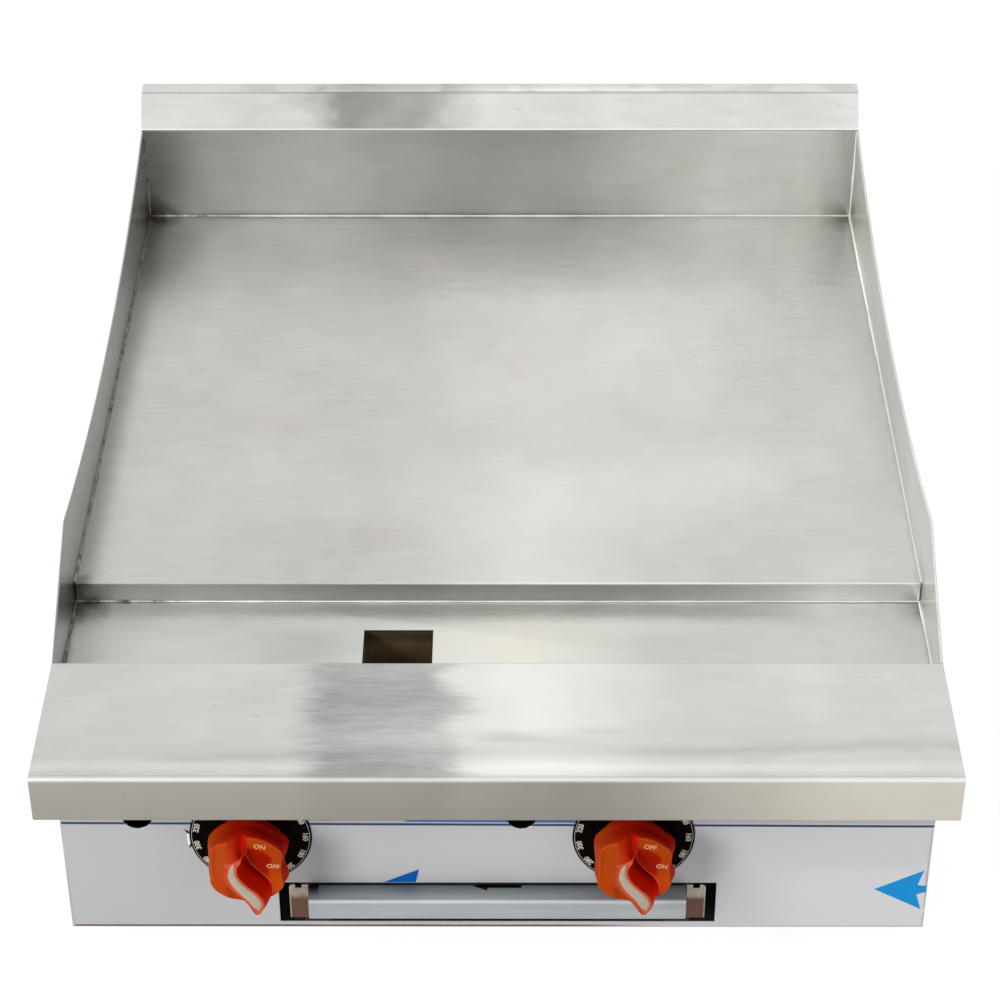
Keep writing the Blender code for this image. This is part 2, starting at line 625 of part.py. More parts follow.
def make_base_pan(finish):
    """Bottom sheet with rows of air slots under the burners and holes for the foot screws."""
    wide = BODY_X - BEND_RADIUS - GAP
    rear_y = SIDE_BACK_Y - SHEET - GAP
    pan = block("base_pan", (-wide, wide), (SIDE_FRONT_Y, rear_y), (PAN_Z, PAN_TOP_Z), finish)
    slot_z = (PAN_Z - SHEET, PAN_TOP_Z + SHEET)
    for side in (-1, 1):
        for index in range(PAN_SLOT_COUNT):
            slot_y = CROSS_Y + (index + 1) * PAN_SLOT_PITCH
            x = (side * PAN_SLOT_X - PAN_SLOT_LENGTH / 2, side * PAN_SLOT_X + PAN_SLOT_LENGTH / 2)
            cut(pan, block("pan_slot", x, (slot_y, slot_y + PAN_SLOT_WIDTH), slot_z))
        for foot_y in FOOT_Y.values():
            cut(pan, rod("pan_hole", FOOT_SCREW_RADIUS + GAP, 3 * SHEET, segments=ROUND_SMALL,
                         location=(side * FOOT_X, foot_y, PAN_Z - SHEET)))


def make_plate_rails(finish):
    """Angle bars inside the body's sides that carry the plate."""
    front_y = PLATE_FRONT_Y + TROUGH_UNDERLAP + GAP
    for name, side in (("left", -1), ("right", 1)):
        outer = side * (BODY_INSIDE_X - GAP)
        inner = outer - side * RAIL_LEG
        path = [(outer, PLATE_Z - GAP - RAIL_LEG), (outer, PLATE_Z - GAP), (inner, PLATE_Z - GAP)]
        if side < 0:
            path.reverse()
        folded("plate_rail_" + name, path, "Y", front_y, PLATE_BACK_Y, finish,
               thickness=RAIL_T)


def make_heat_shield(finish):
    """Channel under the burners that keeps their heat off the drawer."""
    wide = BODY_INSIDE_X - GAP
    corners = [(-wide, SHIELD_Z + SHIELD_LEDGE), (-wide, SHIELD_Z), (wide, SHIELD_Z),
               (wide, SHIELD_Z + SHIELD_LEDGE)]
    front_y = DRAIN_BACK_Y + SHIELD_CLEARANCE_FRONT
    folded("heat_shield", corners, "Y", front_y, INLET_Y - SHIELD_CLEARANCE_REAR, finish,
           thickness=SHIELD_T)


def make_feet(finish):
    """Rubber feet, each held by a screw from below through the flange and the base pan."""
    foot_profile = [
        (FOOT_RECESS_RADIUS, 0), (FOOT_RADIUS - FOOT_TAPER, 0),
        (FOOT_RADIUS, FOOT_HEIGHT - GAP), (FOOT_SCREW_RADIUS + GAP, FOOT_HEIGHT - GAP),
        (FOOT_SCREW_RADIUS + GAP, FOOT_RECESS_DEPTH), (FOOT_RECESS_RADIUS, FOOT_RECESS_DEPTH),
    ]
    head_z = FOOT_RECESS_DEPTH - GAP - FOOT_SCREW_HEAD_T
    screw_profile = [
        (0, head_z), (FOOT_SCREW_HEAD, head_z), (FOOT_SCREW_HEAD, head_z + FOOT_SCREW_HEAD_T),
        (FOOT_SCREW_RADIUS, head_z + FOOT_SCREW_HEAD_T),
        (FOOT_SCREW_RADIUS, head_z + FOOT_SCREW_LENGTH), (0, head_z + FOOT_SCREW_LENGTH),
    ]
    for end, foot_y in FOOT_Y.items():
        for name, side in (("left", -1), ("right", 1)):
            place = (side * FOOT_X, foot_y, 0)
            turned(f"foot_{end}_{name}", foot_profile, finish["foot"], location=place,
                   closed=True)
            turned(f"foot_screw_{end}_{name}", screw_profile, finish["fastener"],
                   segments=ROUND_SMALL, location=place)


def make_rear_screws(finish):
    profile = [
        (0, 0), (REAR_SCREW_RADIUS, 0), (REAR_SCREW_RADIUS, REAR_SCREW_LENGTH),
        (REAR_SCREW_HEAD, REAR_SCREW_LENGTH),
        (REAR_SCREW_HEAD_TOP, REAR_SCREW_LENGTH + REAR_SCREW_HEAD_T),
        (0, REAR_SCREW_LENGTH + REAR_SCREW_HEAD_T),
    ]
    start_y = REAR_OUTER_Y + GAP - REAR_SCREW_LENGTH
    for row, screw_z in REAR_SCREW_Z.items():
        for name, side in (("left", -1), ("right", 1)):
            turned(f"rear_screw_{row}_{name}", profile, finish, segments=ROUND_SMALL,
                   location=(side * REAR_SCREW_X, start_y, screw_z), rotation=ALONG_Y)


# ================================================================ grease drain and drawer
def make_grease_path(finish):
    make_chute(finish["inner"])
    make_drawer(finish)
    make_runners(finish["inner"])


def make_chute(finish):
    """Square duct from the trough's drain hole to just above the drawer."""
    half = DRAIN_SIZE / 2
    outer = half + SHEET
    flange = outer + CHUTE_FLANGE
    top_z = TROUGH_LOW_Z - GAP
    low_z = TRAY_TOP_Z + CHUTE_CLEARANCE
    place = (DRAIN_X, DRAIN_Y, 0)
    chute = block("grease_chute", (-outer, outer), (-outer, outer), (low_z, top_z), finish, place)
    lip = block("chute_flange", (-flange, flange), (-flange, flange), (top_z - SHEET, top_z),
                location=place)
    bore = block("chute_bore", (-half, half), (-half, half), (low_z - SHEET, top_z + SHEET),
                 location=place)
    join(chute, lip)
    cut(chute, bore)


def make_drawer(finish):
    """The sliding grease drawer: open tray, front plate with notched tabs, and hooked lip."""
    origin = Vector((0, FRONT_PLATE_Y, TRAY_Z))
    back_y = TRAY_BACK_Y - origin.y
    front_y = TRAY_FRONT_Y - origin.y
    rim_z = TRAY_TOP_Z - origin.z
    tray = block("grease_drawer", (-TRAY_X, TRAY_X), (front_y, back_y), (0, rim_z),
                 finish["inner"], origin)
    cut(tray, block("tray_hollow", (-TRAY_X + TRAY_T, TRAY_X - TRAY_T),
                    (front_y + TRAY_T, back_y - TRAY_T), (TRAY_T, rim_z + TRAY_T),
                    location=origin))

    wide = FRONT_PLATE_X
    low_z = FRONT_PLATE_Z - origin.z
    high_z = FRONT_PLATE_TOP_Z - origin.z
    handle_x = TRAY_X - HANDLE_INSET
    tab_z = high_z - TAB_DROP
    notch_x = wide - TAB_WIDTH / 2
    notch = TAB_NOTCH_WIDTH / 2
    floor_z = tab_z - TAB_NOTCH_DEPTH
    right = [(wide, low_z), (wide, tab_z - TAB_CORNER), (wide - TAB_CORNER, tab_z),
             (notch_x + notch, tab_z), (notch_x + notch, floor_z), (notch_x - notch, floor_z),
             (notch_x - notch, tab_z), (handle_x + TAB_CORNER, tab_z), (handle_x, high_z)]
    left = [(-x, z) for x, z in reversed(right)]
    prism("drawer_front", right + left, "Y", 0, SHEET, finish["casing"], origin)

    reach_y = -GAP - HANDLE_REACH
    lip_z = high_z - HANDLE_LIP
    corners = [(-GAP, high_z - HANDLE_LEG), (-GAP, high_z), (reach_y, high_z), (reach_y, lip_z)]
    handle = folded("drawer_handle", corners, "X", -handle_x, handle_x, finish["casing"])
    handle.location = origin


def make_runners(finish):
    """Angles on the base pan, beside and under the drawer's tray."""
    beside = TRAY_X + SLIDE_CLEARANCE
    shelf_z = TRAY_Z - GAP
    top_z = TRAY_TOP_Z - RUNNER_DROP
    for name, side in (("left", -1), ("right", 1)):
        outline = [(beside, PAN_TOP_Z + GAP), (beside + RUNNER_T, PAN_TOP_Z + GAP),
                   (beside + RUNNER_T, top_z), (beside, top_z), (beside, shelf_z),
                   (beside - RUNNER_SHELF, shelf_z), (beside - RUNNER_SHELF, shelf_z - RUNNER_T),
                   (beside, shelf_z - RUNNER_T)]
        outline = [(side * x, z) for x, z in outline]
        prism("drawer_runner_" + name, outline, "Y", TRAY_FRONT_Y, TRAY_BACK_Y, finish)


# ================================================================ burners
def make_burner(side, finish):
    """Hollow burner: a mixer tube in line with its valve, a cross tube and two closed legs."""
    mixer_x = KNOB_X[side]
    legs = [BURNER_X[side] - LEG_PITCH / 2, BURNER_X[side] + LEG_PITCH / 2]
    cross = (min(legs + [mixer_x]), max(legs + [mixer_x]))

    def shell(inset, label, kind):
        """The three tubes, all drawn in by the inset."""
        mixer = rod(label, MIXER_RADIUS - inset, CROSS_Y - MIXER_Y - inset, kind,
                    location=(mixer_x, MIXER_Y + inset, AXIS_Z), rotation=ALONG_Y)
        others = [rod(label + "_cross", CROSS_RADIUS - inset, cross[1] - cross[0],
                      location=(cross[0], CROSS_Y, AXIS_Z), rotation=ALONG_X)]
        for index, leg_x in enumerate(legs):
            start_y = CROSS_Y - LEG_RADIUS + inset
            others.append(rod(f"{label}_leg_{index}", LEG_RADIUS - inset,
                              LEG_END_Y - inset - start_y,
                              location=(leg_x, start_y, AXIS_Z), rotation=ALONG_Y))
        return mixer, others

    burner, outside = shell(0, "burner_" + side, finish)
    hollow, inside = shell(BURNER_T, "hollow_" + side, None)
    join(burner, *outside)
    cut(burner, hollow, *inside)
    cut(burner, *windows("mouth_" + side, mixer_x, MIXER_Y - BURNER_T, 3 * BURNER_T))
    return burner


def windows(label, x, y, depth):
    """Cutters for a hole round the orifice's nose and a ring of air windows."""
    cutters = [rod(label + "_nose", NOSE_HOLE_RADIUS, depth, segments=ROUND_SMALL,
                   location=(x, y, AXIS_Z), rotation=ALONG_Y)]
    for index in range(WINDOW_COUNT):
        angle = 2 * pi * (index + WINDOW_TURN) / WINDOW_COUNT
        place = (x + WINDOW_CIRCLE * cos(angle), y, AXIS_Z + WINDOW_CIRCLE * sin(angle))
        cutters.append(rod(f"{label}_window_{index}", WINDOW_RADIUS, depth,
                           segments=ROUND_SMALL, location=place, rotation=ALONG_Y))
    return cutters


def make_shutter(side, finish):
    """Air shutter: a cup over the mixer's mouth whose windows turn across the mouth's own."""
    inner = MIXER_RADIUS + 2 * GAP
    outer = inner + SHUTTER_T
    depth = SHUTTER_T + SHUTTER_SKIRT
    profile = [(0, 0), (outer, 0), (outer, depth), (inner, depth), (inner, SHUTTER_T),
               (0, SHUTTER_T)]
    place = (KNOB_X[side], SHUTTER_Y, AXIS_Z)
    shutter = turned("air_shutter_" + side, profile, finish, location=place, rotation=ALONG_Y)
    return cut(shutter, *windows("shutter_" + side, KNOB_X[side], SHUTTER_Y - SHUTTER_T,
                                 3 * SHUTTER_T))


def make_burner_rails(finish):
    """Angles across the heat shield that carry the burners."""
    low_z = SHIELD_TOP_Z + GAP
    high_z = BURNER_LOW_Z - GAP
    left_x = -(BODY_INSIDE_X - GAP - 2 * RAIL_T)
    right_x = SUPPLY_X - SUPPLY_RADIUS - SLIDE_CLEARANCE
    places = {"front": PLATE_FRONT_Y + BURNER_RAIL_INSET_FRONT,
              "rear": PLATE_BACK_Y - BURNER_RAIL_INSET_REAR}
    for end, rail_y in places.items():
        path = [(rail_y, high_z), (rail_y, low_z), (rail_y + BURNER_RAIL_FLANGE, low_z)]
        folded("burner_rail_" + end, path, "X", left_x, right_x, finish, thickness=RAIL_T)


# ================================================================ gas train
def make_gas_train(finish):
    for side, knob_x in KNOB_X.items():
        make_valve(side, knob_x, finish["brass"])
        make_burner(side, finish["burner"])
        make_shutter(side, finish["fastener"])
    make_burner_rails(finish["inner"])

    tube("gas_manifold", MANIFOLD_RADIUS, MANIFOLD_BORE, ELBOW_X - GAP - MANIFOLD_LEFT_X,
         finish["pipe"], location=(MANIFOLD_LEFT_X, MANIFOLD_Y, MANIFOLD_Z), rotation=ALONG_X)
    rod("manifold_plug", PLUG_RADIUS, PLUG_LENGTH, finish["brass"], segments=HEXAGON,
        location=(MANIFOLD_LEFT_X - GAP - PLUG_LENGTH, MANIFOLD_Y, MANIFOLD_Z),
        rotation=ALONG_X)
    make_elbow(finish["pipe"])
    pipe_y = ELBOW_Y + GAP
    tube("supply_pipe", SUPPLY_RADIUS, SUPPLY_BORE, INLET_Y - GAP - pipe_y, finish["pipe"],
         segments=ROUND_SMALL, location=(SUPPLY_X, pipe_y, MANIFOLD_Z), rotation=ALONG_Y)
    tube("gas_inlet", INLET_RADIUS, INLET_BORE, INLET_LENGTH, finish["brass"],
         location=(SUPPLY_X, INLET_Y, MANIFOLD_Z), rotation=ALONG_Y)
    make_brackets(finish["inner"])


def make_valve(side, knob_x, finish):
    """Plug valve in line with its knob, its nipple down on the manifold, and its orifice."""
    profile = [
        (0, 0), (BONNET_RADIUS, 0), (BONNET_RADIUS, BONNET_LENGTH),
        (VALVE_RADIUS, BONNET_LENGTH), (VALVE_RADIUS, BONNET_LENGTH + VALVE_LENGTH),
        (OUTLET_RADIUS, BONNET_LENGTH + VALVE_LENGTH),
        (OUTLET_RADIUS, BONNET_LENGTH + VALVE_LENGTH + OUTLET_LENGTH),
        (0, BONNET_LENGTH + VALVE_LENGTH + OUTLET_LENGTH),
    ]
    valve = turned("gas_valve_" + side, profile, finish, location=(knob_x, BONNET_Y, AXIS_Z),
                   rotation=ALONG_Y)
    foot_z = MANIFOLD_TOP_Z + GAP
    join(valve, rod("nipple_" + side, NIPPLE_RADIUS, AXIS_Z - foot_z, segments=ROUND_SMALL,
                    location=(knob_x, MANIFOLD_Y, foot_z)))

    orifice = rod("orifice_" + side, ORIFICE_HEX, ORIFICE_HEX_LENGTH, finish, segments=HEXAGON,
                  location=(knob_x, ORIFICE_Y, AXIS_Z), rotation=ALONG_Y)
    join(orifice, rod("nose_" + side, ORIFICE_NOSE, ORIFICE_HEX_LENGTH / 2 + ORIFICE_NOSE_LENGTH,
                      segments=ROUND_SMALL, rotation=ALONG_Y,
                      location=(knob_x, ORIFICE_Y + ORIFICE_HEX_LENGTH / 2, AXIS_Z)))


def make_elbow(finish):
    """Quarter bend from the manifold to the supply pipe, open right through."""
    bm = bmesh.new()
    rings = []
    for radius in (ELBOW_RADIUS, SUPPLY_BORE):
        angles = [2 * pi * index / ROUND_SMALL for index in range(ROUND_SMALL)]
        ring = [bm.verts.new((0, radius * cos(a), radius * sin(a))) for a in angles]
        rings.append([bm.edges.new((ring[i], ring[i - 1])) for i in range(ROUND_SMALL)])
    face = bmesh.ops.bridge_loops(bm, edges=rings[0] + rings[1])["faces"]
    bmesh.ops.spin(bm, geom=face, cent=(0, ELBOW_BEND, 0), axis=(0, 0, 1), angle=pi / 2,
                   steps=ELBOW_STEPS)
    made = add_object("manifold_elbow", bm, finish, (ELBOW_X, MANIFOLD_Y, MANIFOLD_Z))
    round_off(made)


def make_brackets(finish):
    """Angles on the base pan that carry the manifold."""
    half = BRACKET_WIDTH / 2
    low_z = PAN_TOP_Z + GAP
    high_z = MANIFOLD_Z - MANIFOLD_RADIUS - GAP
    for name, side in (("left", -1), ("right", 1)):
        path = [(side * BRACKET_X, high_z), (side * BRACKET_X, low_z),
                (side * (BRACKET_X - BRACKET_FOOT), low_z)]
        if side > 0:
            path.reverse()
        folded("manifold_bracket_" + name, path, "Y", MANIFOLD_Y - half, MANIFOLD_Y + half,
               finish, thickness=RAIL_T)


# ================================================================ dials and knobs
def ridge_centre(height):
    """Sideways place of the S-shaped ridge at a height above the knob's axis."""
    crest = RIDGE_CENTRE + RIDGE_WAVE / 2
    wave = pi * (min(height, crest) - RIDGE_CENTRE) / RIDGE_WAVE
    straight = max(height - crest, 0) / (RIDGE_RIM_R - crest)
    return -RIDGE_SWING * sin(wave) * (1 - straight / 2)


def ribbon(name, stations, half_width, low, high, finish=None, location=(0, 0, 0)):
    """A solid strip along the S of the ridge, wide and deep as its functions say.

    A station is a height above the axis, half_width its half width, and low and high its
    depths ahead of the front panel. The first and last stations are closed by end faces.
    """
    bm = bmesh.new()
    loops = []
    step = RIDGE_WAVE / 100
    for height in stations:
        slope = (ridge_centre(height + step) - ridge_centre(height - step)) / (2 * step)
        across = Vector((1, 0, -slope)).normalized() * half_width(height)
        centre = Vector((ridge_centre(height), 0, height))
        corners = [(-across, low(height)), (across, low(height)),
                   (across, high(height)), (-across, high(height))]
        loops.append([bm.verts.new(centre + side + Vector((0, -depth, 0)))
                      for side, depth in corners])
    for first, second in zip(loops, loops[1:]):
        for index in range(4):
            bm.faces.new((first[index - 1], first[index], second[index], second[index - 1]))
    bm.faces.new(loops[0])
    bm.faces.new(loops[-1])
    return add_object(name, bm, finish, location)


def even_steps(start, end, count):
    return [start + (end - start) * index / count for index in range(count + 1)]


def tapered(from_end, narrow, wide, length):
    """Half width at a distance from a strip's end, which widens over the length."""
    return min(wide, narrow + (wide - narrow) * from_end / length)


def make_knob(side, finish):
    """Round waisted knob on a hub, with a dished face and an S-shaped pointer ridge across it."""
    place = (KNOB_X[side], PANEL_Y, AXIS_Z)
    rear = DIAL_T + GAP + KNOB_STANDOFF
    roof = rear + KNOB_CAVITY_DEPTH
    bore = STEM_RADIUS + GAP
    grip = rear + STEM_GRIP + GAP
    waist = (KNOB_REAR_DEPTH + KNOB_RIM_DEPTH) / 2
    profile = [
        (0, KNOB_DISH_DEPTH), (KNOB_DISH_RADIUS, KNOB_DISH_DEPTH + KNOB_WALL / 2),
        (KNOB_RIM_RADIUS - 2 * KNOB_WALL, KNOB_RIM_DEPTH - KNOB_WALL / 2),
        (KNOB_RIM_RADIUS - KNOB_WALL / 2, KNOB_RIM_DEPTH),
        (KNOB_RIM_RADIUS, KNOB_RIM_DEPTH - KNOB_WALL / 2),
        (KNOB_WAIST_RADIUS, waist), (KNOB_REAR_RADIUS, KNOB_REAR_DEPTH),
        (KNOB_HUB_RADIUS, KNOB_REAR_DEPTH - KNOB_WALL), (KNOB_HUB_RADIUS, rear),
        (KNOB_HUB_RADIUS - KNOB_WALL, rear),
        (KNOB_HUB_RADIUS - KNOB_WALL, roof), (KNOB_BOSS_RADIUS, roof),
        (KNOB_BOSS_RADIUS, rear), (bore, rear), (bore, grip), (0, grip),
    ]
    knob = turned("knob_" + side, profile, finish["knob"], segments=ROUND_FINE, location=place,
                  rotation=TOWARDS_OPERATOR)

    def ridge_width(height):
        return tapered(height - RIDGE_TIP_R, RIDGE_TIP_HALF_WIDTH, RIDGE_HALF_WIDTH, RIDGE_TAPER)

    def ridge_top(height):
        ramp = max(height - RIDGE_TOP_R, 0) / (RIDGE_RIM_R - RIDGE_TOP_R)
        return RIDGE_DEPTH + (KNOB_RIM_DEPTH - KNOB_WALL / 2 - RIDGE_DEPTH) * ramp

    def ridge_foot(height):
        beyond = max(-KNOB_WAIST_RADIUS - height, 0) / (-KNOB_WAIST_RADIUS - RIDGE_TIP_R)
        return RIDGE_FOOT_DEPTH + (KNOB_RIM_DEPTH - RIDGE_FOOT_DEPTH) * beyond

    stations = even_steps(RIDGE_TIP_R, RIDGE_RIM_R - KNOB_WALL / 2, RIDGE_STEPS)
    ridge = ribbon("ridge_" + side, stations, ridge_width, ridge_foot, ridge_top,
                   location=place)
    join(knob, ridge)

    def inlay_width(height):
        from_end = min(height - INLAY_TIP_R, INLAY_TOP_R - height)
        return tapered(from_end, INLAY_END_HALF_WIDTH, INLAY_HALF_WIDTH, INLAY_TAPER)

    ribbon("knob_inlay_" + side, even_steps(INLAY_TIP_R, INLAY_TOP_R, RIDGE_STEPS), inlay_width,
           lambda height: RIDGE_DEPTH + GAP, lambda height: RIDGE_DEPTH + GAP + INLAY_T,
           finish["inlay"], place)

    stem_y = BONNET_Y - GAP - PANEL_Y
    rod("valve_stem_" + side, STEM_RADIUS, stem_y + rear + STEM_GRIP, finish["fastener"],
        segments=ROUND_SMALL, location=(KNOB_X[side], PANEL_Y + stem_y, AXIS_Z),
        rotation=TOWARDS_OPERATOR)


def make_dial(side, finish):
    """Round plate on the front panel behind the knob."""
    tube("dial_plate_" + side, DIAL_RADIUS, STEM_HOLE_RADIUS, DIAL_T, finish,
         segments=ROUND_FINE, location=(KNOB_X[side], PANEL_Y - GAP, AXIS_Z),
         rotation=TOWARDS_OPERATOR)


# ================================================================ the whole griddle
def main():
    for old in list(bpy.data.objects):
        bpy.data.objects.remove(old, do_unlink=True)
    finish = finishes()
    make_cooking_top(finish)
    make_body(finish)
    make_feet(finish)
    make_rear_screws(finish["fastener"])
    make_grease_path(finish)
    make_gas_train(finish)
    for side in KNOB_X:
        make_dial(side, finish["dial"])
        make_knob(side, finish)


main()
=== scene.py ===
"""Looks of a two-burner countertop gas griddle: brushed and welded stainless sheet, a ground
steel plate, orange knobs on numbered black dials, and the protective film on its front panel.

Lengths are in metres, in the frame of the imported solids: +X to the operator's right, +Y away
from the operator, +Z up.
"""

import json
from math import cos, pi, radians, sin

import bmesh
import bpy
import numpy as np
from mathutils import Matrix, Vector


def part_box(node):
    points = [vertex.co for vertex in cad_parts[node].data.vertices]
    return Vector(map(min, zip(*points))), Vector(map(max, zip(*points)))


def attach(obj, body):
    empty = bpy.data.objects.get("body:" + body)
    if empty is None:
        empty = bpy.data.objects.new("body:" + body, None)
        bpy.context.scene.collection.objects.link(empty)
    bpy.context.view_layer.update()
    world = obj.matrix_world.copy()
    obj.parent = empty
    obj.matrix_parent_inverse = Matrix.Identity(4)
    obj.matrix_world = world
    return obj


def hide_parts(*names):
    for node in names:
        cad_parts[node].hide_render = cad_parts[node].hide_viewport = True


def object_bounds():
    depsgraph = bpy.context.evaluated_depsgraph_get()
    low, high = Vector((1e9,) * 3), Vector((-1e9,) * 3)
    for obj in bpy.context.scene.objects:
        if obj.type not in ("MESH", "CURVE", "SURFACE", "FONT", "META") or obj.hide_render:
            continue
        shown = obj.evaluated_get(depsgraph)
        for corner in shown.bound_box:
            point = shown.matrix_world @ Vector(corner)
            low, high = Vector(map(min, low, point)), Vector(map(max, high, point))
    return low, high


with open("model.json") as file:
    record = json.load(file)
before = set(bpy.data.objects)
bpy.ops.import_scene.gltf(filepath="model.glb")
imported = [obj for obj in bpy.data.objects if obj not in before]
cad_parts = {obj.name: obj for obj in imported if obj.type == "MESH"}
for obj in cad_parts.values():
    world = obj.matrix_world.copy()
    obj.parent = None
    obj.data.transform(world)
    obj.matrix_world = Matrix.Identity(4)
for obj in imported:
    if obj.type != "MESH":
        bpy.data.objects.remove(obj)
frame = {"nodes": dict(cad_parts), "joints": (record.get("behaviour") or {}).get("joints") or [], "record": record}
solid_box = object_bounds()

NODES = frame["nodes"]
BODY_OF = {node: body for body, nodes in frame["record"]["behaviour"]["bodies"].items()
           for node in nodes}
SIDES = ("left", "right")

# -------- places from the solids
PLATE_LOW, PLATE_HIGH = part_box("griddle_plate")
BACK_LOW, BACK_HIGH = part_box("backsplash")
CAP_LOW, CAP_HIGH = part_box("flue_cap")
APRON_LOW, APRON_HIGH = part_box("apron")
PANEL_LOW, PANEL_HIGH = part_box("front_panel")
HANDLE_LOW, HANDLE_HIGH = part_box("drawer_handle")
TAB_LOW, TAB_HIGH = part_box("drawer_front")
TROUGH_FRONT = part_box("drip_trough")[0].y
CHUTE_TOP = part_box("grease_chute")[1].z
WALL_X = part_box("side_splash_right")[0].x       # inner face of the right side splash
JOINTS = {joint["name"]: joint for joint in frame["joints"]}
KNOB_AT = {side: Vector(JOINTS[f"knob_{side}_turn"]["pos_m"]) for side in SIDES}
HOLE_BOX = {opening["name"]: opening["box_m"]
            for opening in frame["record"]["physics"]["openings"]}
FACE_Y = PANEL_LOW.y                 # front of the front panel
TOP_Z = PLATE_HIGH.z                 # cooking surface
FLOOR_Z = PLATE_LOW.z                # trough floor
WHITE = (1.0, 1.0, 1.0, 1.0)


# ======== shader expressions
def operator(operation, swapped=False):
    """A method that writes one Math node for a Python operator."""
    def apply(field, other):
        pair = (other, field) if swapped else (field, other)
        return field.nodes.maths(operation, *pair)
    return apply


class Field:
    """A value that varies over a surface: a socket that takes Python's arithmetic."""

    def __init__(self, nodes, socket):
        self.nodes = nodes
        self.socket = socket

    __add__ = operator("ADD")
    __radd__ = operator("ADD", swapped=True)
    __sub__ = operator("SUBTRACT")
    __rsub__ = operator("SUBTRACT", swapped=True)
    __mul__ = operator("MULTIPLY")
    __rmul__ = operator("MULTIPLY", swapped=True)
    at_most = operator("MINIMUM")
    at_least = operator("MAXIMUM")

    def __abs__(self):
        return self.nodes.maths("ABSOLUTE", self)

    def root(self):
        return self.nodes.maths("SQRT", self)

    def rise(self, low, high):
        """0 below low, 1 above high, and smooth between. A low above high falls instead."""
        if low > high:
            return 1 - self.rise(high, low)
        return self.nodes.node("MapRange", {0: self, 1: low, 2: high},
                               interpolation_type="SMOOTHSTEP")


class Nodes:
    """The node tree of a material or a world."""

    def __init__(self, owner):
        owner.use_nodes = True
        self.tree = owner.node_tree
        self.tree.nodes.clear()

    def node(self, kind, inputs=None, output=0, **settings):
        """An output of a new node: its settings first, then its sockets' values or links."""
        made = self.tree.nodes.new("ShaderNode" + kind)
        for key, value in settings.items():
            setattr(made, key, value)
        for key, value in (inputs or {}).items():
            if isinstance(value, Field):
                self.tree.links.new(value.socket, made.inputs[key])
            else:
                made.inputs[key].default_value = value
        return Field(self, made.outputs[output])

    def maths(self, operation, *values):
        return self.node("Math", dict(enumerate(values)), operation=operation)

    def seen_by(self, *rays):
        """1 for the named kinds of ray, 0 for the others."""
        seen = 0.0
        for ray in rays:
            seen = self.node("LightPath", output=f"Is {ray} Ray").at_least(seen)
        return seen

    def close(self, kind, shader):
        """Link the tree's output node."""
        output = self.tree.nodes.new("ShaderNodeOutput" + kind)
        self.tree.links.new(shader.socket, output.inputs[0])


class Coat(Nodes):
    """A material whose base colour is changed step by step, by tint and gain."""

    def __init__(self, name, base):
        self.material = bpy.data.materials.new(name)
        super().__init__(self.material)
        self.base = base
        self.place = self.node("TexCoord", output="Object")
        split = self.node("SeparateXYZ", {0: self.place}).socket.node
        self.x, self.y, self.z = (Field(self, socket) for socket in split.outputs)

    def noise(self, per_metre, detail=2, roughness=0.5, offset=(0, 0, 0)):
        """Soft noise round 0, with one frequency or one each along X, Y and Z."""
        if not isinstance(per_metre, tuple):
            per_metre = (per_metre,) * 3
        spread = self.node("VectorMath", {0: self.place, 1: per_metre}, operation="MULTIPLY")
        moved = self.node("VectorMath", {0: spread, 1: offset}, operation="ADD")
        return self.node("TexNoise", {"Vector": moved, "Scale": 1, "Detail": detail,
                                      "Roughness": roughness}) - 0.5

    def grain(self, along, fine=1100, run=7):
        """Brush lines along X, Y or Z: noise that is drawn out in that direction."""
        stretch = [fine, fine, fine]
        stretch["XYZ".index(along)] = run
        return self.noise(tuple(stretch), detail=3, roughness=0.6)

    def span(self, *place):
        """Distance from a place, across Z too if the place has three coordinates."""
        gaps = [axis - at for axis, at in zip((self.x, self.y, self.z), place)]
        return sum(gap * gap for gap in gaps).root()

    def tint(self, factor, colour):
        """Turn the base colour towards another by the factor."""
        self.base = self.node("Mix", {0: factor, 6: rgba(self.base), 7: rgba(colour)}, 2,
                              data_type="RGBA")

    def gain(self, factor):
        """Multiply the base colour."""
        self.base = self.node("VectorMath", {0: self.base, "Scale": factor}, operation="SCALE")

    def shade(self, roughness, metallic=0.0, height=None, depth=0.0002, specular=0.5):
        """Close the material with a Principled shader and, for a height, a Bump node."""
        inputs = {"Base Color": rgba(self.base), "Roughness": roughness, "Metallic": metallic,
                  "Specular IOR Level": specular}
        if height is not None:
            inputs["Normal"] = self.node("Bump", {"Height": height, "Distance": depth,
                                                  "Strength": 1})
        self.close("Material", self.node("BsdfPrincipled", inputs))
        return self.material


def rgba(colour):
    return colour if isinstance(colour, Field) else (*colour, 1.0)


# ======== steel finishes
STEEL = (0.60, 0.60, 0.58)
SCORCH = (0.085, 0.068, 0.050)
ROSE = (0.62, 0.55, 0.51)
OLIVE = (0.57, 0.59, 0.51)


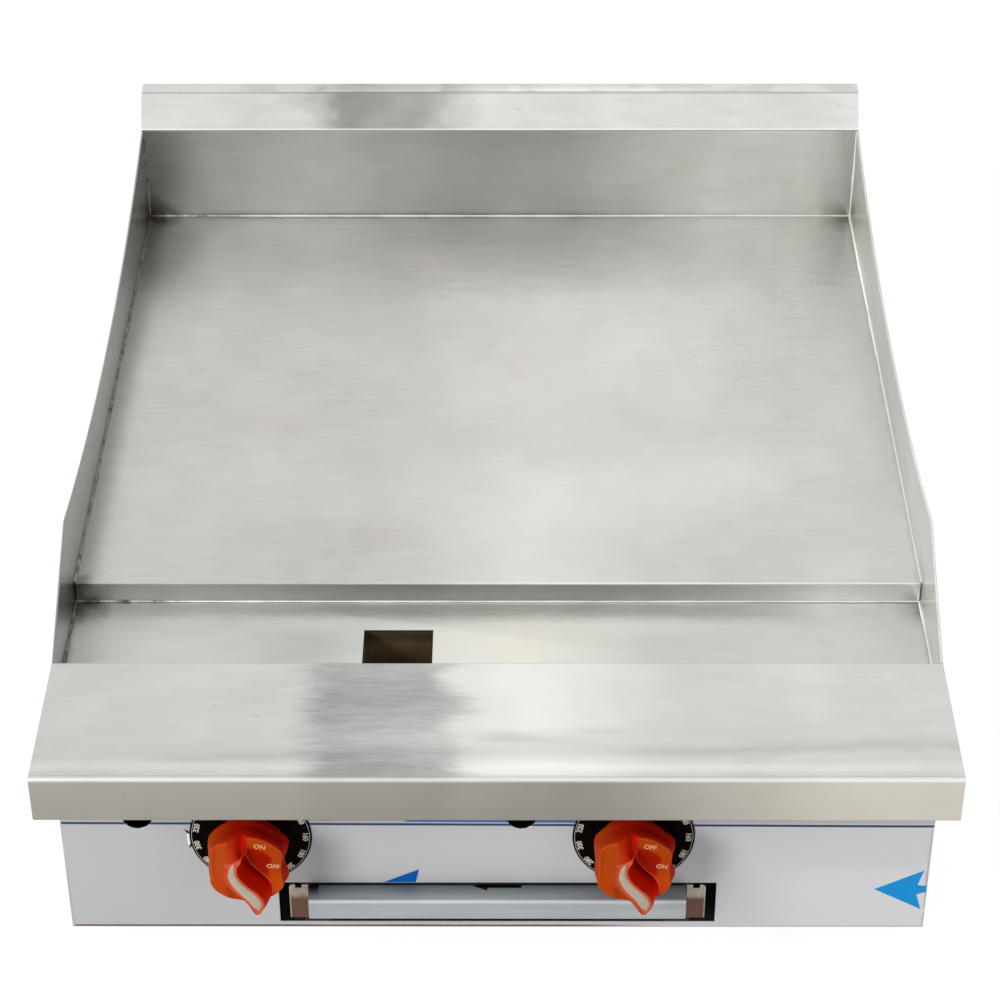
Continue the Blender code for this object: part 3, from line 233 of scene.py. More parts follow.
def sheet_steel(name, tone=1.0, roughness=0.30, along="X", marks=None, light_sweep=0.0, brush=1.0):
    """Stainless sheet: brush lines, wiped streaks, cloudy sheen and a faint rosy or olive haze.

    marks lays local stains, and painted light and shade, on the coat. The sweep is painted light:
    how much brighter the sheet's right end is painted than its left, as a share of its tone.
    brush is how deep the brush lines are.
    """
    coat = Coat(name, STEEL)
    # Painted light: the sweep brightens the right end over the left.
    tone = tone * (1 - light_sweep / 2) + tone * light_sweep * coat.x.rise(-0.26, 0.24)
    grain = coat.grain(along)
    smears = coat.grain(along, fine=150, run=28)
    cloud = coat.noise((6, 6, 5), detail=4)
    patches = coat.noise((26, 20, 13), detail=3, offset=(3, 8, 1))
    haze = coat.noise((13, 11, 13), detail=3, offset=(7, 2, 5))
    coat.tint((haze * 3.0 - 0.3).at_least(0.0), ROSE)
    coat.tint((haze * -3.0 - 0.2).at_least(0.0), OLIVE)
    sheen = 0.08 * brush * grain + 0.20 * smears + 0.26 * cloud + 0.16 * patches
    coat.gain((1 + sheen) * tone)
    if marks is not None:
        marks(coat)
    rough = roughness + 0.05 * brush * grain + 0.08 * smears + 0.12 * cloud
    waves = coat.noise((6, 9, 9), detail=1, offset=(1, 4, 2))
    height = 0.04 * brush * grain + 0.05 * smears + 1.3 * waves
    return coat.shade(rough, 1.0, height, depth=0.0006)


def near(distance, reach):
    """1 at a distance of 0, falling to 0 at the reach."""
    return distance.rise(reach, 0.0)


def left_share(coat):
    """How heavy the weld stains are: full at the left wall, light at the right."""
    return 1 - 0.65 * coat.x.rise(-0.05, 0.20)


def corner_spot(coat, corner, reach):
    """1 at a corner, falling to 0 at the reach, with a ragged edge."""
    return near(coat.span(*corner) + 0.030 * coat.noise(90, detail=4), reach)


def corner_stains(coat, stain, corner, reach, left, right):
    """The stain, or a spot in the corner and in its mirror image where that is heavier."""
    x, y, z = corner
    for at, share in ((-x, left), (x, right)):
        stain = stain.at_least(corner_spot(coat, (at, y, z), reach) * share)
    return stain


def plate_marks(coat):
    """Heat stains where the plate is welded to the walls, darkest in the left corners.

    The front face is painted darker than the ground top, and lighter at its right end: painted
    shade and light. A painted highlight runs along its upper edge, and a narrow dull strip runs
    along the left wall. The top carries a painted reflection, brightest at its rear middle, and is
    darker at four places ahead of it.
    """
    ragged = 0.006 * coat.noise(60, detail=3)
    side = PLATE_HIGH.x - abs(coat.x) + ragged
    rear = PLATE_HIGH.y - coat.y + ragged
    stain = near(side, 0.005).at_least(near(rear, 0.005)) * 0.45
    stain = stain.at_least(near(coat.x - PLATE_LOW.x + ragged, 0.022) * 0.44) * left_share(coat)
    stain = corner_stains(coat, stain, (PLATE_HIGH.x, PLATE_HIGH.y, TOP_Z), 0.036, 0.85, 0.55)
    centre = near(abs(coat.x - 0.01), 0.13)
    # Painted reflection: brighter at the rear, most in the middle.
    bright = 0.36 * centre * coat.y.rise(0.17, 0.30) + 0.05 * coat.y.rise(0.15, 0.27)
    dim = 0.08 * centre * coat.y.rise(0.20, 0.10)
    for x, y, share in ((-0.105, -0.146, 0.14), (0.125, -0.146, 0.21), (0.105, 0.025, 0.14),
                        (-0.065, 0.015, 0.10)):
        dim = dim + share * near(coat.span(x, y) + ragged, 0.13)
    coat.gain(1 + bright - dim)
    front = (PLATE_LOW.x, PLATE_LOW.y, TOP_Z)
    stain = stain.at_least(corner_spot(coat, front, 0.026) * 0.75)
    # Painted shade and light: the front face is darker than the top, and lighter at its right end.
    face = (coat.z - TOP_Z).rise(-0.0006, -0.0012)
    dimming = 0.49 - 0.185 * coat.x.rise(-0.06, -0.22) - 0.655 * coat.x.rise(0.05, 0.24)
    coat.gain(1 - face * dimming)
    # Painted highlight along the front face's upper edge, on its right part.
    lip = abs(coat.y - PLATE_LOW.y) + abs(coat.z - TOP_Z)
    coat.tint(near(lip, 0.0018) * coat.x.rise(-0.20, 0.10), (0.86, 0.86, 0.84))
    coat.tint(stain, SCORCH)


def wall_marks(coat):
    """Stains along the welds at the foot of a side splash and in its corners.

    The right one is darker at its rear, the left one at its front. Outside both are clean, and
    as bright as the side panels, which undoes the splashes' painted light there.
    """
    ragged = 0.004 * coat.noise(60, detail=3)
    over = coat.y.rise(PLATE_LOW.y - 0.002, PLATE_LOW.y)
    left = coat.x.rise(0.1, -0.1)
    rearward = coat.y.rise(-0.10, 0.06)
    forward = coat.y.rise(-0.12, -0.24)
    coat.gain(1 + rearward * (0.24 * left - 0.15) - 0.12 * forward * left)
    foot = FLOOR_Z + (TOP_Z - FLOOR_Z) * over
    stain = near(coat.z - foot + ragged, 0.0055) * 0.8 * left_share(coat)
    for y, z, reach in ((BACK_LOW.y, TOP_Z, 0.046), (PLATE_LOW.y, FLOOR_Z, 0.036)):
        stain = corner_stains(coat, stain, (WALL_X, y, z), reach, 0.95, 0.5)
    outside = (abs(coat.x) - WALL_X).rise(0.0006, 0.0012)
    # Outside, undo the painted light of the splashes' tones.
    coat.gain(1 + outside * (1.22 * left - 0.32))
    coat.tint(stain * (1 - outside), SCORCH)


def back_marks(coat):
    """Stains at the ends of the backsplash and along its foot, and a painted dark reflection
    in its middle.
    """
    ragged = 0.014 * coat.noise((30, 50, 9), detail=4)
    left = near(coat.x - BACK_LOW.x + 2 * ragged, 0.056) * 0.50
    right = near(BACK_HIGH.x - coat.x + 2 * ragged, 0.046) * 0.46
    foot = near(coat.z - TOP_Z + 0.3 * ragged, 0.006) * 0.4
    stain = left.at_least(right).at_least(foot * left_share(coat))
    stain = corner_stains(coat, stain, (BACK_HIGH.x, BACK_LOW.y, TOP_Z), 0.040, 0.9, 0.6)
    # Painted dark reflection: the middle is darker, most near the foot.
    middle = abs(coat.x - 0.012 + 1.5 * ragged).rise(0.20, 0.02)
    coat.gain(1 - middle * (0.46 + 0.06 * near(coat.z - TOP_Z, 0.06)))
    coat.tint(stain, SCORCH)


def trough_marks(coat):
    """Stains beside the trough's welds, and a darker patch at each rear corner.

    The floor carries a painted highlight along its rear, most at the middle, is darker at two
    places ahead of that, and has a warm painted highlight at its centre.
    """
    ragged = 0.006 * coat.noise(60, detail=3)
    behind = PLATE_LOW.y - coat.y
    centre = near(abs(coat.x - 0.020), 0.15)
    # Painted highlight along the rear of the floor, most at the middle.
    coat.gain(1 + (0.42 + 0.80 * centre) * near(behind + ragged, 0.032))
    dimming = near(abs(coat.x - 0.10), 0.14) + near(abs(coat.x + 0.13), 0.06)
    coat.gain(1 - 0.17 * dimming * behind.rise(0.022, 0.045))
    stain = near(WALL_X - abs(coat.x) + ragged, 0.006) * 0.5 * left_share(coat)
    stain = corner_stains(coat, stain, (WALL_X, PLATE_LOW.y, FLOOR_Z), 0.036, 0.85, 0.5)
    # Warm painted highlight at the centre of the floor.
    coat.tint(near(abs(coat.x - 0.015), 0.13) * 0.45, (0.76, 0.74, 0.63))
    coat.tint(stain, SCORCH)


def cap_marks(coat):
    """A painted dark reflection left of the middle of the flue cap, faint scuffs, and painted
    lines at its hems: a dark line and a broken highlight at the top fold, the flat top darker than
    the front as painted shade, and a highlight along its lower edge.
    """
    wander = coat.noise((14, 14, 24), detail=4)
    # Painted dark reflection left of the middle.
    dark_reflection = abs(coat.x + 0.097 + 0.12 * wander).rise(0.084, 0.022)
    scuffs = coat.noise((50, 120, 130), detail=4).rise(0.15, 0.26)
    coat.tint(dark_reflection * (0.70 + 0.9 * wander), (0.22, 0.22, 0.19))
    coat.tint(scuffs * 0.30, (0.38, 0.35, 0.31))
    # Painted lines at the top fold, and the flat top darker as painted shade.
    from_fold = coat.z - CAP_HIGH.z + 0.0016
    broken = coat.noise(24).rise(-0.08, 0.06)
    glint = near(abs(from_fold - 0.0012), 0.0010) * (0.35 + 0.65 * broken)
    coat.tint(near(abs(from_fold), 0.0010) * 0.55, (0.25, 0.25, 0.23))
    coat.gain(1 - 0.20 * (from_fold - 0.0002).rise(0.0, 0.0006))
    coat.tint(glint * 0.5, (0.95, 0.95, 0.93))
    # Painted highlight along the lower hem.
    coat.tint(near(coat.z - CAP_LOW.z, 0.0022) * 0.8, (0.93, 0.93, 0.90))


def apron_marks(coat):
    """The apron's top: a streaky painted dark reflection left of the middle, flecks, and painted
    highlights: a broad one near the middle, one at the right end, and a streak near the front.

    The right half is darker at one place and wiped at another. The front bend carries a painted
    highlight behind a darker line. The front face is painted darker than the top and lighter
    towards its right end, painted shade and light, and is a little warmer, and the rear edge has
    a thin dark line.
    """
    wander = coat.noise((10, 40, 10), detail=4)
    streaks = coat.noise((48, 330, 60), detail=3, roughness=0.6)
    # Painted dark reflection left of the middle, streaky.
    dark_reflection = (coat.x + 0.03 * wander + 0.02 * streaks).rise(-0.138, -0.106)
    dark_reflection = dark_reflection * (coat.x + 0.06 * wander + 0.03 * streaks).rise(-0.016, -0.044)
    from_front = coat.y - APRON_LOW.y
    face = from_front.rise(0.0012, 0.0004)
    flecks = coat.noise((110, 200, 100)).rise(0.20, 0.26) * coat.x.rise(0.05, -0.05)
    # Painted highlights: broad near the middle, and at the right end.
    bright = near(abs(coat.x - 0.050 + 0.10 * wander), 0.13)
    dimming = near(abs(coat.x - 0.115), 0.10) * (1 - face)
    wiped = near(abs(coat.x - 0.025 + 0.2 * wander), 0.080)
    wiped = wiped * near(abs(from_front - 0.041 + 0.02 * wander), 0.014)
    lift = 0.06 * bright + 0.07 * coat.x.rise(0.16, 0.22)
    coat.gain(1 + lift - 0.17 * dimming - 0.24 * wiped)
    depth = 0.56 + 0.22 * near(abs(from_front - 0.082), 0.036)
    depth = depth + 0.20 * from_front.rise(0.030, 0.012) * (1 - face) - 0.25 * face
    depth = depth - 0.14 * near(abs(from_front - 0.042), 0.020)
    depth = depth + 0.6 * wander + 0.65 * streaks * (1 - face)
    coat.tint(dark_reflection * depth.at_least(0.0), (0.265, 0.262, 0.262))
    coat.tint(flecks * 0.30, (0.34, 0.33, 0.27))
    band = near(abs(from_front - 0.027 + 0.02 * wander - 0.02 * coat.x), 0.010)
    coat.gain(1 - 0.13 * band * coat.x.rise(-0.28, -0.12))
    # Painted highlight streak near the front.
    gleam = near(abs(from_front - 0.012 - 0.010 * wander), 0.008)
    coat.tint(gleam * (1 - dark_reflection) * 0.35, (0.80, 0.80, 0.78))
    coat.tint(near(APRON_HIGH.y - coat.y, 0.0011) * 0.5, (0.22, 0.22, 0.21))
    # Painted shade and light on the front face: darker than the top, lighter at the right end.
    coat.tint(face * 0.5, (0.56, 0.49, 0.40))
    coat.gain(1 - face * (0.24 + 0.14 * bright - 0.54 * coat.x.rise(0.05, 0.26)))
    coat.tint(near(abs(from_front - 0.0036), 0.0011) * 0.35, (0.36, 0.36, 0.35))
    # Painted highlight along the front bend.
    bend_highlight = near(abs(from_front) + abs(coat.z - APRON_HIGH.z), 0.0032)
    coat.tint((bend_highlight * 1.6).at_most(1.0) * 0.9, (0.93, 0.93, 0.91))


def weld_metal():
    """Bare weld bead: bright crests, with soot in the ripples, heaviest at the left."""
    coat = Coat("weld_metal", (0.72, 0.72, 0.70))
    blotch = coat.noise(120, detail=3)
    pits = coat.noise(900)
    coat.tint(coat.x.rise(-0.275, -0.295), (0.26, 0.25, 0.23))
    soot = (blotch * 2.2 + 0.55 * coat.x.rise(-0.16, -0.27)).rise(0.25, 0.90)
    coat.tint(soot * (0.15 + 0.70 * coat.x.rise(-0.10, -0.26)), SCORCH)
    return coat.shade(0.42 + 0.3 * pits, 1.0, pits, depth=0.00006)


def tab_steel():
    """Bare bent tab at each end of the drawer's front, warm with old adhesive."""
    coat = Coat("tab_steel", (0.36, 0.31, 0.24))
    stain = coat.noise((90, 90, 70), detail=4)
    coat.tint((stain * 2.4 + 0.5).at_least(0.0), (0.52, 0.47, 0.40))
    low = (coat.z - TAB_LOW.z + 0.008 * stain).rise(0.0225, 0.0170)
    coat.tint(low * 0.9, (0.115, 0.036, 0.012))
    outer = (TAB_HIGH.x - abs(coat.x)).rise(0.0012, 0.0005)
    top = (TAB_HIGH.z - coat.z).rise(0.0034, 0.0026)
    coat.tint(outer.at_least(top) * 0.6, (0.66, 0.60, 0.52))
    # Painted shadow in the slit between the tab and the handle.
    seam = (abs(coat.x) - HANDLE_HIGH.x + 0.0006 * stain).rise(0.0017, 0.0012)
    coat.tint(seam, (0.004, 0.004, 0.004))
    return coat.shade(0.45 + 0.2 * stain + 0.4 * seam, 0.5 - 0.5 * seam, stain)


def chute_steel():
    """Inside of the grease chute: an old brown film of grease, and near black round its mouth."""
    coat = Coat("chute_steel", (0.17, 0.085, 0.042))
    clots = coat.noise(70, detail=4)
    mouth = coat.z.rise(CHUTE_TOP - 0.012, CHUTE_TOP - 0.004)
    coat.tint((clots * 2.0 + 0.5).at_least(0.0), (0.19, 0.155, 0.085))
    coat.tint(mouth * 0.8, (0.05, 0.04, 0.03))
    return coat.shade(0.45 + 0.2 * clots, 0.3, clots)


def plain_metal(name, colour, roughness, scale=180):
    """Cast, turned or coated metal of the parts behind the casing."""
    coat = Coat(name, colour)
    mottle = coat.noise(scale, detail=4)
    coat.gain(1 + 0.35 * mottle)
    return coat.shade(roughness + 0.2 * mottle, 1.0, coat.noise(scale * 9), depth=0.0001)


# ======== other finishes
def panel_film():
    """Pale protective film: blue seam lines near its top, a warm lower edge, painted shade above
    its seam under the apron, and shade by the knobs.
    """
    coat = Coat("panel_film", (0.455, 0.46, 0.465))
    ripple = coat.noise((7, 7, 10))
    bubbles = coat.noise(260).rise(0.20, 0.30)
    coat.tint(coat.x.rise(-0.30, 0.30), (0.575, 0.58, 0.595))
    bright = coat.x.rise(0.17, 0.22) * coat.z.rise(0.085, 0.065)
    coat.gain(1 + 0.10 * ripple + 0.10 * bright)
    seam = coat.z + 0.0045 * (coat.x + 0.30) + 0.0008 * coat.noise(9)
    coat.tint(abs(seam - FILM_SEAM_Z).rise(0.0014, 0.0007), (0.015, 0.04, 0.13))
    double = abs(coat.x + 0.004).rise(0.060, 0.056)
    double = double * abs(seam - FILM_SEAM_Z - 0.0034).rise(0.0016, 0.0008)
    # Painted shade above the seam, under the apron.
    coat.gain(1 - 0.25 * (seam - FILM_SEAM_Z).rise(0.0, 0.0035))
    coat.tint(double, (0.03, 0.12, 0.34))
    up = coat.z - PANEL_LOW.z + 0.0012 * coat.noise(20)
    coat.tint(near(up, 0.0040) * 0.6, (0.62, 0.50, 0.45))
    coat.tint(up.rise(0.0027, 0.0019) * coat.x.rise(0.12, 0.04), (0.10, 0.065, 0.045))
    for side in SIDES:
        across = coat.x - KNOB_AT[side].x - 0.050
        down = coat.z - KNOB_AT[side].z + 0.018
        shadow = near((across * across + 0.6 * down * down).root(), 0.030)
        coat.gain(1 - 0.16 * shadow)
    return coat.shade(0.45 + 0.10 * ripple, 0.0, ripple + 0.05 * bubbles, 0.0012, 0.35)


def handle_film():
    """Bluish protective film on the drawer's handle, with faint streaks, painted shade on its
    ledge, deepest towards the back, and a painted highlight along its fold.

    A dark sliver with an arrow head lies on the ledge beside the middle, and a painted shadow
    darkens the ledge at its left end.
    """
    coat = Coat("handle_film", (0.43, 0.465, 0.485))
    streaks = coat.noise((14, 160, 160), detail=3)
    cloud = coat.noise((9, 20, 20))
    coat.gain(1 + 0.35 * streaks + 0.25 * cloud)
    ledge = (coat.z - HANDLE_HIGH.z).rise(-0.0022, -0.0010)
    back = (coat.y - HANDLE_LOW.y).rise(0.002, 0.016)
    # Painted shade on the ledge, under the panel's edge, deepest towards the back.
    coat.tint(ledge * (0.10 + 0.62 * back), (0.08, 0.105, 0.12))
    # Painted highlight along the fold.
    fold = abs(coat.y - HANDLE_LOW.y) + abs(coat.z - HANDLE_HIGH.z)
    coat.tint((near(fold, 0.0026) * 1.6).at_most(0.9), (0.86, 0.90, 0.93))
    tip = coat.x + 0.0177
    head = 0.42 * tip * tip.rise(0.0112, 0.0108)
    half = head.at_least(0.0020 * tip.rise(0.0108, 0.0112) * tip.rise(0.0345, 0.0341))
    sliver = ledge * (half - abs(coat.y - HANDLE_LOW.y - 0.0150)).rise(0.0, 0.0004)
    coat.tint(sliver, (0.006, 0.006, 0.007))
    # Painted shadow at the ledge's left end.
    torn = ledge * back * (coat.x - 0.004 * streaks).rise(-0.1215, -0.1235)
    coat.tint(torn, (0.005, 0.005, 0.005))
    return coat.shade(0.50 + 0.2 * streaks, 0.5 + 0.5 * sliver.at_least(torn), cloud, 0.0008)


def film_ink(name, colour):
    """Ink printed on the film, the film's own torn edge, and the painted shadow under the tear."""
    coat = Coat(name, colour)
    mottle = coat.noise(300, detail=3)
    coat.gain(1 + 0.25 * mottle)
    return coat.shade(0.40 + 0.1 * mottle, specular=0.08)


def knob_plastic():
    """Orange-red moulding, painted deeper red where it is shaded, as in its valley, and paler
    along its raised edges, partly rubbed wear and partly painted highlight.
    """
    coat = Coat("knob_plastic", (0.43, 0.006, 0.001))
    edge, lit_share, glow = (coat.node("Attribute", output="Fac", attribute_name=name)
                        for name in ("edge", "lit_share", "glow"))
    mottle = coat.noise(160, detail=3)
    # Painted light: the lit share turns the deep red towards orange where the knob faces the light.
    coat.tint(lit_share + 0.15 * mottle, (0.385, 0.046, 0.002))
    # Painted light and shade: glow brightens the colour in places and darkens it in others.
    coat.gain(glow)
    # Paler edges: partly rubbed wear, partly painted highlight.
    coat.tint((edge + 0.3 * mottle).rise(0.1, 1.1), (0.66, 0.105, 0.055))
    return coat.shade(0.40 + 0.12 * mottle, 0.0, coat.noise(2600), 0.00002, 0.025)


def cream_ink(name, colour):
    """Paint of the pointer strip and the lettering, rubbed thin in places."""
    coat = Coat(name, tuple(0.72 * part for part in colour))
    rub = coat.noise(420, detail=3)
    coat.tint(0.5 + 1.6 * rub, colour)
    return coat.shade(0.5 + 0.2 * rub, 0.0, rub, 0.00005, 0.2)


def dial_enamel():
    """Black enamel with a faint brown cast and fine dust."""
    coat = Coat("dial_enamel", (0.004, 0.0018, 0.0022))
    dust = coat.noise(1500).rise(0.18, 0.34)
    coat.tint(dust * 0.03, (0.30, 0.28, 0.27))
    return coat.shade(0.42 + 0.2 * coat.noise(40), 0.0, dust, 0.00003, 0.012)


def rubber():
    """Black moulded rubber with a dusty bloom."""
    coat = Coat("rubber", (0.022, 0.022, 0.023))
    bloom = coat.noise(70, detail=3)
    coat.tint((bloom * 1.2 + 0.2).at_least(0.0), (0.07, 0.07, 0.07))
    return coat.shade(0.75 + 0.2 * bloom, 0.0, bloom)


def white_paper():
    """Matte white paper that mostly glows where it is seen, so that its shadows stay faint."""
    coat = Coat("studio_floor", (0.93, 0.93, 0.93))
    paper = coat.node("BsdfPrincipled", {"Base Color": rgba(coat.base),
                                         "Roughness": 0.9 + 0.05 * coat.noise(300)})
    glow = coat.node("Emission", {"Color": WHITE, "Strength": 1.12})
    seen = coat.seen_by("Camera", "Transmission")
    coat.close("Material", coat.node("MixShader", {0: seen * 0.8, 1: paper, 2: glow}))
    return coat.material


# ======== mesh helpers
MERGE = 1e-6                 # points nearer than this are one
SMOOTH_ANGLE = 30            # edges sharper than this many degrees are rounded on the solids


def grid_quads(rows, columns):
    """Corners of the faces of a rows by columns grid that is closed round each row."""
    row, column = np.meshgrid(np.arange(rows - 1), np.arange(columns), indexing="ij")
    after = (column + 1) % columns
    corners = (row * columns + column, row * columns + after,
               (row + 1) * columns + after, (row + 1) * columns + column)
    return np.stack(corners, axis=-1).reshape(-1, 4)


def shown(name, data):
    """A new object of the scene with the given data."""
    made = bpy.data.objects.new(name, data)
    bpy.context.scene.collection.objects.link(made)
    return made


def add_piece(name, mesh, finish, body="chassis", smooth=40):
    """Put a mesh on show as a piece that rides on a body."""
    made = shown(name, mesh)
    mesh.materials.clear()
    mesh.materials.append(finish)
    if smooth:
        mesh.shade_smooth()
        mesh.set_sharp_from_angle(angle=radians(smooth))
    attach(made, body)
    return made


def tidy(mesh):
    """Close seams and poles and turn the faces outwards."""
    bm = bmesh.new()
    bm.from_mesh(mesh)
    bmesh.ops.remove_doubles(bm, verts=bm.verts, dist=MERGE)
    bmesh.ops.dissolve_degenerate(bm, edges=bm.edges, dist=MERGE)
    bmesh.ops.recalc_face_normals(bm, faces=bm.faces)
    bm.to_mesh(mesh)
    bm.free()
    return mesh


def surface(name, points, finish, body="chassis", caps=False, smooth=40):
    """A piece from a rows by columns array of points, closed round each row.

    caps closes its first and last rows with flat ends.
    """
    rows, columns = points.shape[:2]
    faces = grid_quads(rows, columns).tolist()
    if caps:
        faces.append(list(range(columns))[::-1])
        faces.append(list(range((rows - 1) * columns, rows * columns)))
    mesh = bpy.data.meshes.new(name)
    mesh.from_pydata(points.reshape(-1, 3).tolist(), [], faces)
    return add_piece(name, tidy(mesh), finish, body, smooth)


def from_curve(curve):
    """The mesh of a curve or a text."""
    holder = shown(curve.name + "_curve", curve)
    bpy.context.view_layer.update()
    mesh = bpy.data.meshes.new_from_object(holder)
    bpy.data.objects.remove(holder, do_unlink=True)
    bpy.data.curves.remove(curve)
    return mesh


def around(profile, centre):
    """Points of a profile of (radius, height) pairs turned about -Y through the centre.

    point = centre + radius * (cos a * side + sin a * up) + height * axis
    """
    axis = Vector((0, -1, 0))
    side = axis.orthogonal().normalized()
    up = axis.cross(side)
    angle = np.linspace(0, 2 * pi, DIAL_STEPS, endpoint=False)
    ring = np.outer(np.cos(angle), side) + np.outer(np.sin(angle), up)
    radius, height = np.array(profile).T
    return (np.array(centre) + radius[:, None, None] * ring
            + height[:, None, None] * np.array(axis))


def dressed(node, finish, bevel=0.0003, segments=2):
    """A copy of a solid with its loose triangles joined and its sharp edges rounded."""
    mesh = NODES[node].data.copy()
    bm = bmesh.new()
    bm.from_mesh(mesh)
    bmesh.ops.remove_doubles(bm, verts=bm.verts, dist=MERGE)
    bmesh.ops.dissolve_limit(bm, angle_limit=radians(0.5), verts=bm.verts, edges=bm.edges)
    bm.to_mesh(mesh)
    bm.free()
    made = add_piece(node + "_skin", mesh, finish, BODY_OF[node], SMOOTH_ANGLE)
    if bevel:
        rounded = made.modifiers.new("rounded_edges", "BEVEL")
        rounded.width = bevel
        rounded.segments = segments
        rounded.limit_method = "ANGLE"
        rounded.angle_limit = radians(SMOOTH_ANGLE)
        rounded.harden_normals = True
    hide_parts(node)


def flowing(points, at):
    """A smooth curve through (place, value) points: cubic Hermite, slopes by differences."""
    place, value = np.array(sorted(points)).T
    slope = np.gradient(value, place)
    at = np.clip(at, place[0], place[-1])
    index = np.clip(np.searchsorted(place, at) - 1, 0, len(place) - 2)
    span = place[index + 1] - place[index]
    t = (at - place[index]) / span
    return ((2 * t ** 3 - 3 * t ** 2 + 1) * value[index]
            + (t ** 3 - 2 * t ** 2 + t) * span * slope[index]
            + (3 * t ** 2 - 2 * t ** 3) * value[index + 1]
            + (t ** 3 - t ** 2) * span * slope[index + 1])


def rise(value, low, high):
    """0 below low, 1 above high, 3t^2 - 2t^3 between."""
    t = np.clip((value - low) / (high - low), 0, 1)
    return t * t * (3 - 2 * t)


# ======== welds
BEAD_RIPPLE = 0.0022         # pitch of the ripples along a weld
BEAD_WAVES = ((0.5, 61.0, 0.4), (0.3, 147.0, 1.7), (0.2, 331.0, 2.9))    # size, rate, phase


def weld_bead(name, start, end, first, second, size, finish):
    """A rippled bead along a corner, between two faces that lie in directions first and second.

    point = corner(t) + r(t) * (cos a * first + sin a * second), a from 0 to 90 degrees, with
    r(t) = size * (1 + ripple * sin(2 pi t / pitch) + slow wander). The corner closes it.
    """
    start, end = np.array(start), np.array(end)
    length = np.linalg.norm(end - start)
    t = np.linspace(0, length, max(int(length / BEAD_RIPPLE * 5), 8))
    wave = sum(part * np.sin(t * rate + phase) for part, rate, phase in BEAD_WAVES)
    radius = size * (1 + 0.05 * np.sin(2 * pi * t / BEAD_RIPPLE) + 0.25 * wave)
    angle = np.linspace(0, pi / 2, 7)
    arc = np.outer(np.cos(angle), first) + np.outer(np.sin(angle), second)
    spine = start + np.outer(t / length, end - start)
    rim = spine[:, None, :] + radius[:, None, None] * arc
    loop = np.concatenate([spine[:, None, :], rim], axis=1)
    surface(name, loop, finish, caps=True, smooth=60)


def make_welds():
    metal = weld_metal()
    right, back, up = np.eye(3)
    x = WALL_X
    for side, way in zip(SIDES, (1, -1)):
        wall, inward = -way * x, way * right
        corner = (wall, BACK_LOW.y, TOP_Z)
        weld_bead("plate_weld_" + side, (wall, PLATE_LOW.y, TOP_Z), corner,
                  inward, up, 0.0014, metal)
        weld_bead("back_weld_" + side, corner, (wall, BACK_LOW.y, BACK_HIGH.z),
                  inward, -back, 0.0009, metal)
        weld_bead("trough_weld_" + side, (wall, TROUGH_FRONT + 0.0015, FLOOR_Z),
                  (wall, PLATE_LOW.y, FLOOR_Z), inward, up, 0.0014, metal)
    weld_bead("back_weld_foot", (-x, BACK_LOW.y, TOP_Z), (x, BACK_LOW.y, TOP_Z),
              -back, up, 0.0010, metal)
    weld_bead("trough_weld_rear", (-x, PLATE_LOW.y, FLOOR_Z), (x, PLATE_LOW.y, FLOOR_Z),
              -back, up, 0.0011, metal)


# ======== knobs and dials
KNOB_STEPS = 320             # round the knob
KNOB_FACE_ROWS = 120         # from its axis to its rim
KNOB_SIDE_ROWS = 44          # from its rim to its rear edge
KNOB_RIM = 0.0284
RIM_DEPTH = 0.0330           # all depths are ahead of the front panel
REAR_DEPTH = 0.0030
RIDGE_TOP = 0.0452
RAMP_FOOT = 0.0292           # height above the axis at which the ramp meets the rim
SPOUT_TURN = radians(-78.8)  # way the pointer's spout sticks out of the rim
SPOUT_REACH = 0.0049
LEFT_VALLEY = 0.0318
RIGHT_VALLEY = 0.0245
CHEEK_DEPTH = 0.0250         # where the cheeks bulge most
CHEEK_REACH = 0.0040
FACE_INSET = 0.0008          # how far the face stops short of the rim
LETTER_LIFT = 0.00008        # how far forward of the face the letters' middle lies
LETTER_SIZE = 0.0050
WORDS = {"left": ("ON", "OFF"), "right": ("OFF", "ON")}      # upper and lower word of each knob
WORD_PLACES = ((0.0094, 0.0205), (0.0176, 0.0034))           # right of its axis and above it
WORD_TURN = 12               # degrees clockwise
STRIP_TOP, STRIP_FOOT = 0.0160, -0.0276


def softened(points, reach=0.0045):
    """A function of one place: the smooth curve through the points, averaged over a reach."""
    start, end = points[0][0], points[-1][0]
    at = np.linspace(start - reach, end + reach, 600)
    weight = np.hanning(int(reach / (at[1] - at[0])) | 1)
    value = flowing(points, at)
    padded = np.pad(value, len(weight) // 2, mode="edge")
    value = np.convolve(padded, weight / weight.sum(), mode="valid")
    return lambda place: np.interp(place, at, value)


# Sideways place of the ridge by height above the knob's axis: half a wave of an S.
ridge_line = softened([(-0.0327, 0.0065), (-0.026, 0.0073), (-0.020, 0.0059), (-0.014, 0.0024),
                       (-0.008, -0.0027), (-0.002, -0.0068), (0.004, -0.0090),
                       (0.010, -0.0088), (0.016, -0.0074), (0.028, -0.0072)])

# Half width of the ridge's flat top, square to its line.
ridge_half = softened([(-0.0330, 0.0003), (-0.029, 0.0017), (-0.025, 0.0036), (-0.020, 0.0046),
                       (-0.014, 0.0047), (-0.008, 0.0044), (0.004, 0.0036), (0.012, 0.0030),
                       (0.017, 0.0044), (0.020, 0.0046), (0.028, 0.0030)], 0.0020)


def spout_drop(w):
    """How far the ridge's top falls towards the spout."""
    return 0.0015 * rise(-w, 0.020, 0.033)


def ridge_fold(u):
    """Height at which the ridge's flat top ends and its ramp to the rim begins."""
    return 0.0152 + 0.46 * (u + 0.0095)


def ridge_slope(w):
    """Sideways run of the ridge's line per height."""
    step = 4e-4
    return (ridge_line(w + step) - ridge_line(w - step)) / (2 * step)


def beside_ridge(u, w):
    """Distance to the right of the ridge's line, square to it."""
    return (u - ridge_line(w)) / np.sqrt(1 + ridge_slope(w) ** 2)


